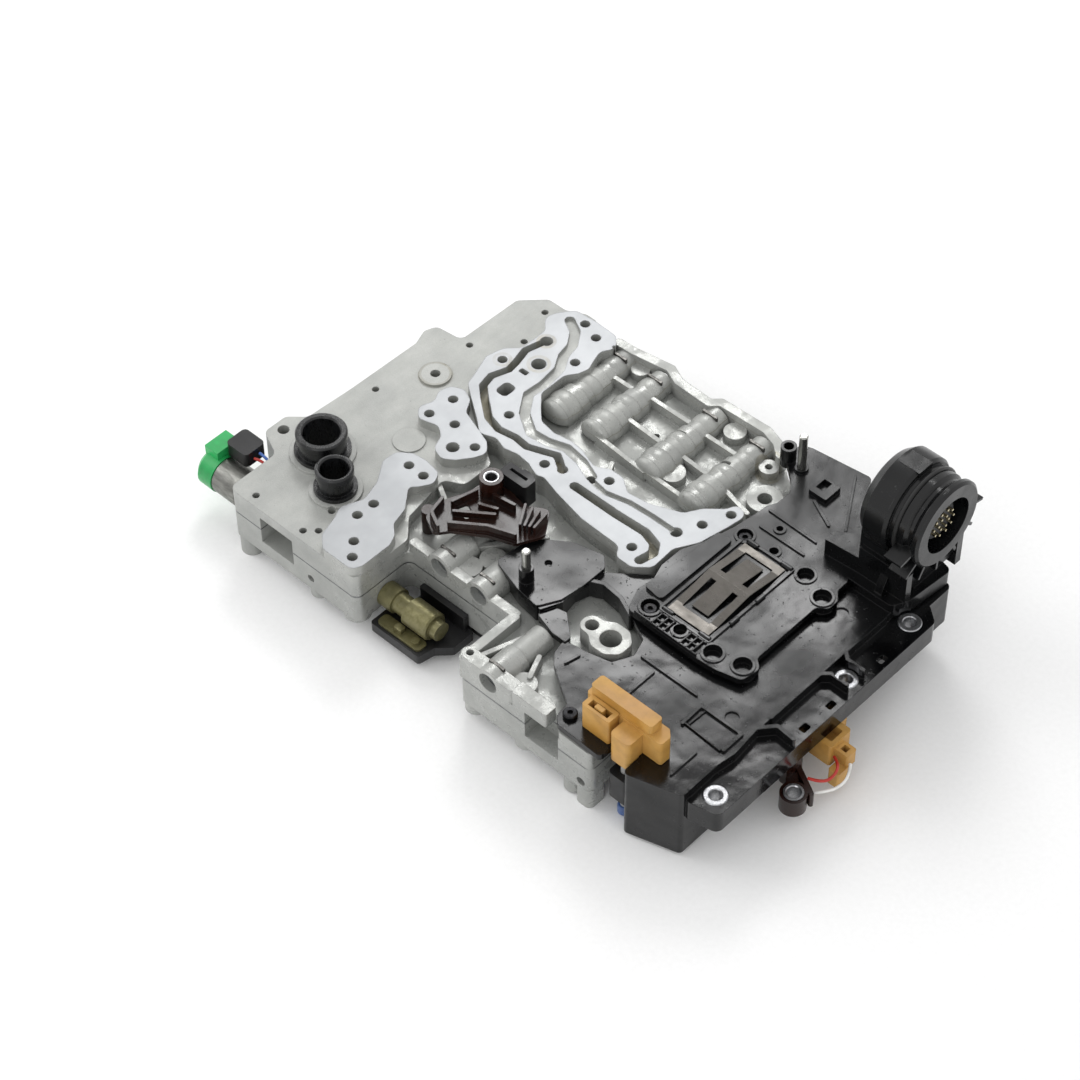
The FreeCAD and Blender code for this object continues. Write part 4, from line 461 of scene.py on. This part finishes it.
# Covers, board and socket
# Small mouldings in the housing's own nylon, the board in its green mask with epoxy chips, and
# the plug socket's gilt contacts inside a rubber seal.
dress(moulded("black_nylon", "#0E0E0F", "#19191B", 0.4), "electronics_cover", "connector_insert",
      "cable_guide", "solenoid_frame", "lead_frame", "sensor_head", "solenoid_plug")
dress(moulded("solder_masked_board", "#123A22", "#1B4A2C", 0.35), "circuit_board")
dress(moulded("epoxy_chip", "#111112", "#1C1C1D", 0.5), "circuit_components")
dress(metal("gold_plated_contact", "#BDB08A", "#DDD4B4", 0.25), "connector_pins")
dress(moulded("nitrile_rubber", "#101010", "#1A1A1A", 0.5), "connector_seal")

# Deck lattice, window frame and latches
# The moulding's edge under the leaf is a row of open cells with thin walls. A low frame stands on
# the near deck, and six small hooks hold the leaf's frame down.
DECK, NEAR_DECK = 60.0, 54.0
FOOT, HOOK_FOOT = 0.5, 0.3
SOFT_EDGE, EDGE_STEPS = 0.25, 2
HIGH_WALL, LOW_WALL = DECK + 2.0, DECK + 1.6


def add_wall(mesh, start, end, width, low, high):
    """An upright wall between two points of the deck, its top edges softened, in millimetres."""
    run = Vector((end[0] - start[0], end[1] - start[1], 0))
    middle = Vector(((start[0] + end[0]) / 2, (start[1] + end[1]) / 2, (low + high) / 2))
    turn = Matrix.Rotation(math.atan2(run.y, run.x), 4, "Z")
    stretch = Matrix.Diagonal((run.length + width, width, high - low, 1.0))
    made = bmesh.ops.create_cube(
        mesh, size=1.0, matrix=Matrix.Scale(MM, 4) @ Matrix.Translation(middle) @ turn @ stretch)
    rims = {edge for vert in made["verts"] for edge in vert.link_edges
            if all(abs(end_vert.co.z - high * MM) < SAME_PLACE for end_vert in edge.verts)}
    bmesh.ops.bevel(mesh, geom=list(rims), offset=SOFT_EDGE * width * MM, segments=EDGE_STEPS,
                    profile=0.5, affect="EDGES", material=-1)


lattice = bmesh.new()
for start, end in (((71.0, -44.4), (116.0, -45.2)), ((81.8, -35.4), (92.4, -35.2)),
                   ((103.2, -35.2), (114.8, -35.0))):
    add_wall(lattice, start, end, 1.1, DECK - FOOT, HIGH_WALL)
for wall_x in (83.0, 87.6, 92.0, 104.2, 108.8, 113.0):
    add_wall(lattice, (wall_x, -44.8), (wall_x + 0.2, -35.4), 1.0, DECK - FOOT, HIGH_WALL)
for wall_x in (75.5, 79.5, 97.6):
    add_wall(lattice, (wall_x, -44.8), (wall_x + 0.2, -42.8), 1.0, DECK - FOOT, LOW_WALL)
for start, end in (((83.2, -40.2), (92.0, -40.0)), ((104.4, -40.0), (113.0, -39.8))):
    add_wall(lattice, start, end, 0.9, DECK - FOOT, LOW_WALL)
make_piece("deck_lattice", lattice, housing_black)

window = bmesh.new()
corners = ((138.8, -65.2), (138.1, -80.8), (166.4, -82.2), (167.0, -66.6))
for start, end in zip(corners, corners[1:] + corners[:1]):
    add_wall(window, start, end, 1.2, NEAR_DECK - FOOT, NEAR_DECK + 1.3)
add_wall(window, (143.0, -66.6), (142.4, -79.8), 0.9, NEAR_DECK - FOOT, NEAR_DECK + 1.0)
make_piece("deck_window_frame", window, housing_black)

latches = bmesh.new()
for x, y in ((84.0, -31.5), (111.0, -31.5), (86.0, 38.6), (111.0, 38.6)):
    add_wall(latches, (x - 3.0, y), (x + 3.0, y), 2.2, DECK - HOOK_FOOT, DECK + 2.2)
    add_wall(latches, (x - 1.2, y), (x + 1.2, y), 3.6, DECK - HOOK_FOOT, DECK + 1.7)
for x, y in ((115.6, -12.0), (115.6, 10.0)):
    add_wall(latches, (x, y - 2.4), (x, y + 2.4), 2.4, DECK - HOOK_FOOT, HIGH_WALL)
make_piece("frame_latches", latches, housing_black)

# Leaf spring and steel sleeves
# The leaf is stamped spring steel, browned by the oil and scuffed along its length. The sleeves
# are turned and bright, and the pins are ground smoother still.
dress(metal("stamped_spring_steel", "#56534F", "#615E5A", 0.3, 5.0, (0.5, 1.0, 1.0), 0.9),
      "leaf_spring")
dress(metal("turned_steel", "#8F9093", "#C9CACC", 0.3, 0.8), "housing_bushings",
      "bracket_sleeve", "arm_sleeve")
dress(metal("ground_steel", "#A3A39E", "#CFCFCB", 0.2, 0.8), "locating_pins")

# Brown bracket and arm
# Mouldings of heat-stable brown polyamide with thin ribs. Oil has darkened their satin skin, so
# they look nearly black in the hollows.
dress(moulded("brown_polyamide", "#1A0B07", "#27120B", 0.22, 0.5, 0.03, 0.3), "sensor_bracket",
      "sensor_arm")

# Orange plug, clip and cable
# The plug and the clip are ochre polybutylene mouldings, matt on their flat sides and darker
# where oil has crept in. The cable has a grey silicone skin and a blue end.
dress(moulded("ochre_polybutylene", "#B5843A", "#C29650", 0.42, 0.6, 0.04, 0.4), "orange_plug",
      "cable_clip")
dress(moulded("grey_silicone", "#9A9A98", "#B0B0AE", 0.5), "plug_cable")
dress(moulded("blue_polyolefin", "#47639A", "#6581B5", 0.4), "cable_end")

# Solenoids
# Drawn steel cans. The left one is nickel plated, with a warm grey shine, and ends in a green
# moulded cap; the notch's one and its clamp are chromated to a dull olive yellow.
dress(metal("nickel_plated_steel", "#6F6F6B", "#94948F", 0.36, 1.5, (0.2, 1.0, 1.0)),
      "left_solenoid")
dress(moulded("green_polyamide", "#1A8F49", "#27AA5A", 0.34), "green_cap")
dress(metal("yellow_chromate", "#6E6A48", "#8B8663", 0.4, 3.0, (1.0, 1.0, 1.0), 0.75),
      "gold_solenoid", "solenoid_clamp")

# Floor and light
# A pale seamless floor of matt paper under a white sky and three soft boxes. One box stands
# behind the unit, where the deck mirrors it.
FLOOR_SIZE, SKY_STRENGTH = 6.0, 0.85
bpy.ops.mesh.primitive_plane_add(size=FLOOR_SIZE, location=(0, 0, 0))
floor = bpy.context.object
floor.name = "studio_floor"
paper, paper_shader, place = new_material("matt_white_paper")
fibres = speckle(paper, place, size=3.0, low=0.3, high=0.7)
feed(paper, paper_shader, Roughness=0.9,
     Base_Color=stained(paper, linear("#F6F6F6"), linear("#FAFAFA"), fibres))
floor.data.materials.append(paper)

world = bpy.data.worlds.new("studio")
bpy.context.scene.world = world
world.use_nodes = True
sky = world.node_tree.nodes["Background"]
sky.inputs["Color"].default_value = linear("#FFFFFF")
sky.inputs["Strength"].default_value = SKY_STRENGTH


def soft_light(name, place, aim, size, power):
    """A square soft box that points at a place."""
    lamp = bpy.data.lights.new(name, "AREA")
    lamp.shape = "SQUARE"
    lamp.size = size
    lamp.energy = power
    holder = bpy.data.objects.new(name, lamp)
    bpy.context.scene.collection.objects.link(holder)
    holder.location = place
    holder.rotation_euler = (Vector(aim) - Vector(place)).to_track_quat("-Z", "Y").to_euler()


soft_light("back_box", (-0.72, 0.84, 1.2), (0.05, 0, 0.05), size=0.5, power=6.0)
soft_light("left_box", (-1.3, -0.6, 1.0), (0, 0, 0.05), size=0.9, power=7.0)
soft_light("near_box", (0.4, -1.5, 0.9), (0, 0, 0.05), size=0.8, power=3.0)
bpy.context.scene.view_settings.view_transform = "Standard"
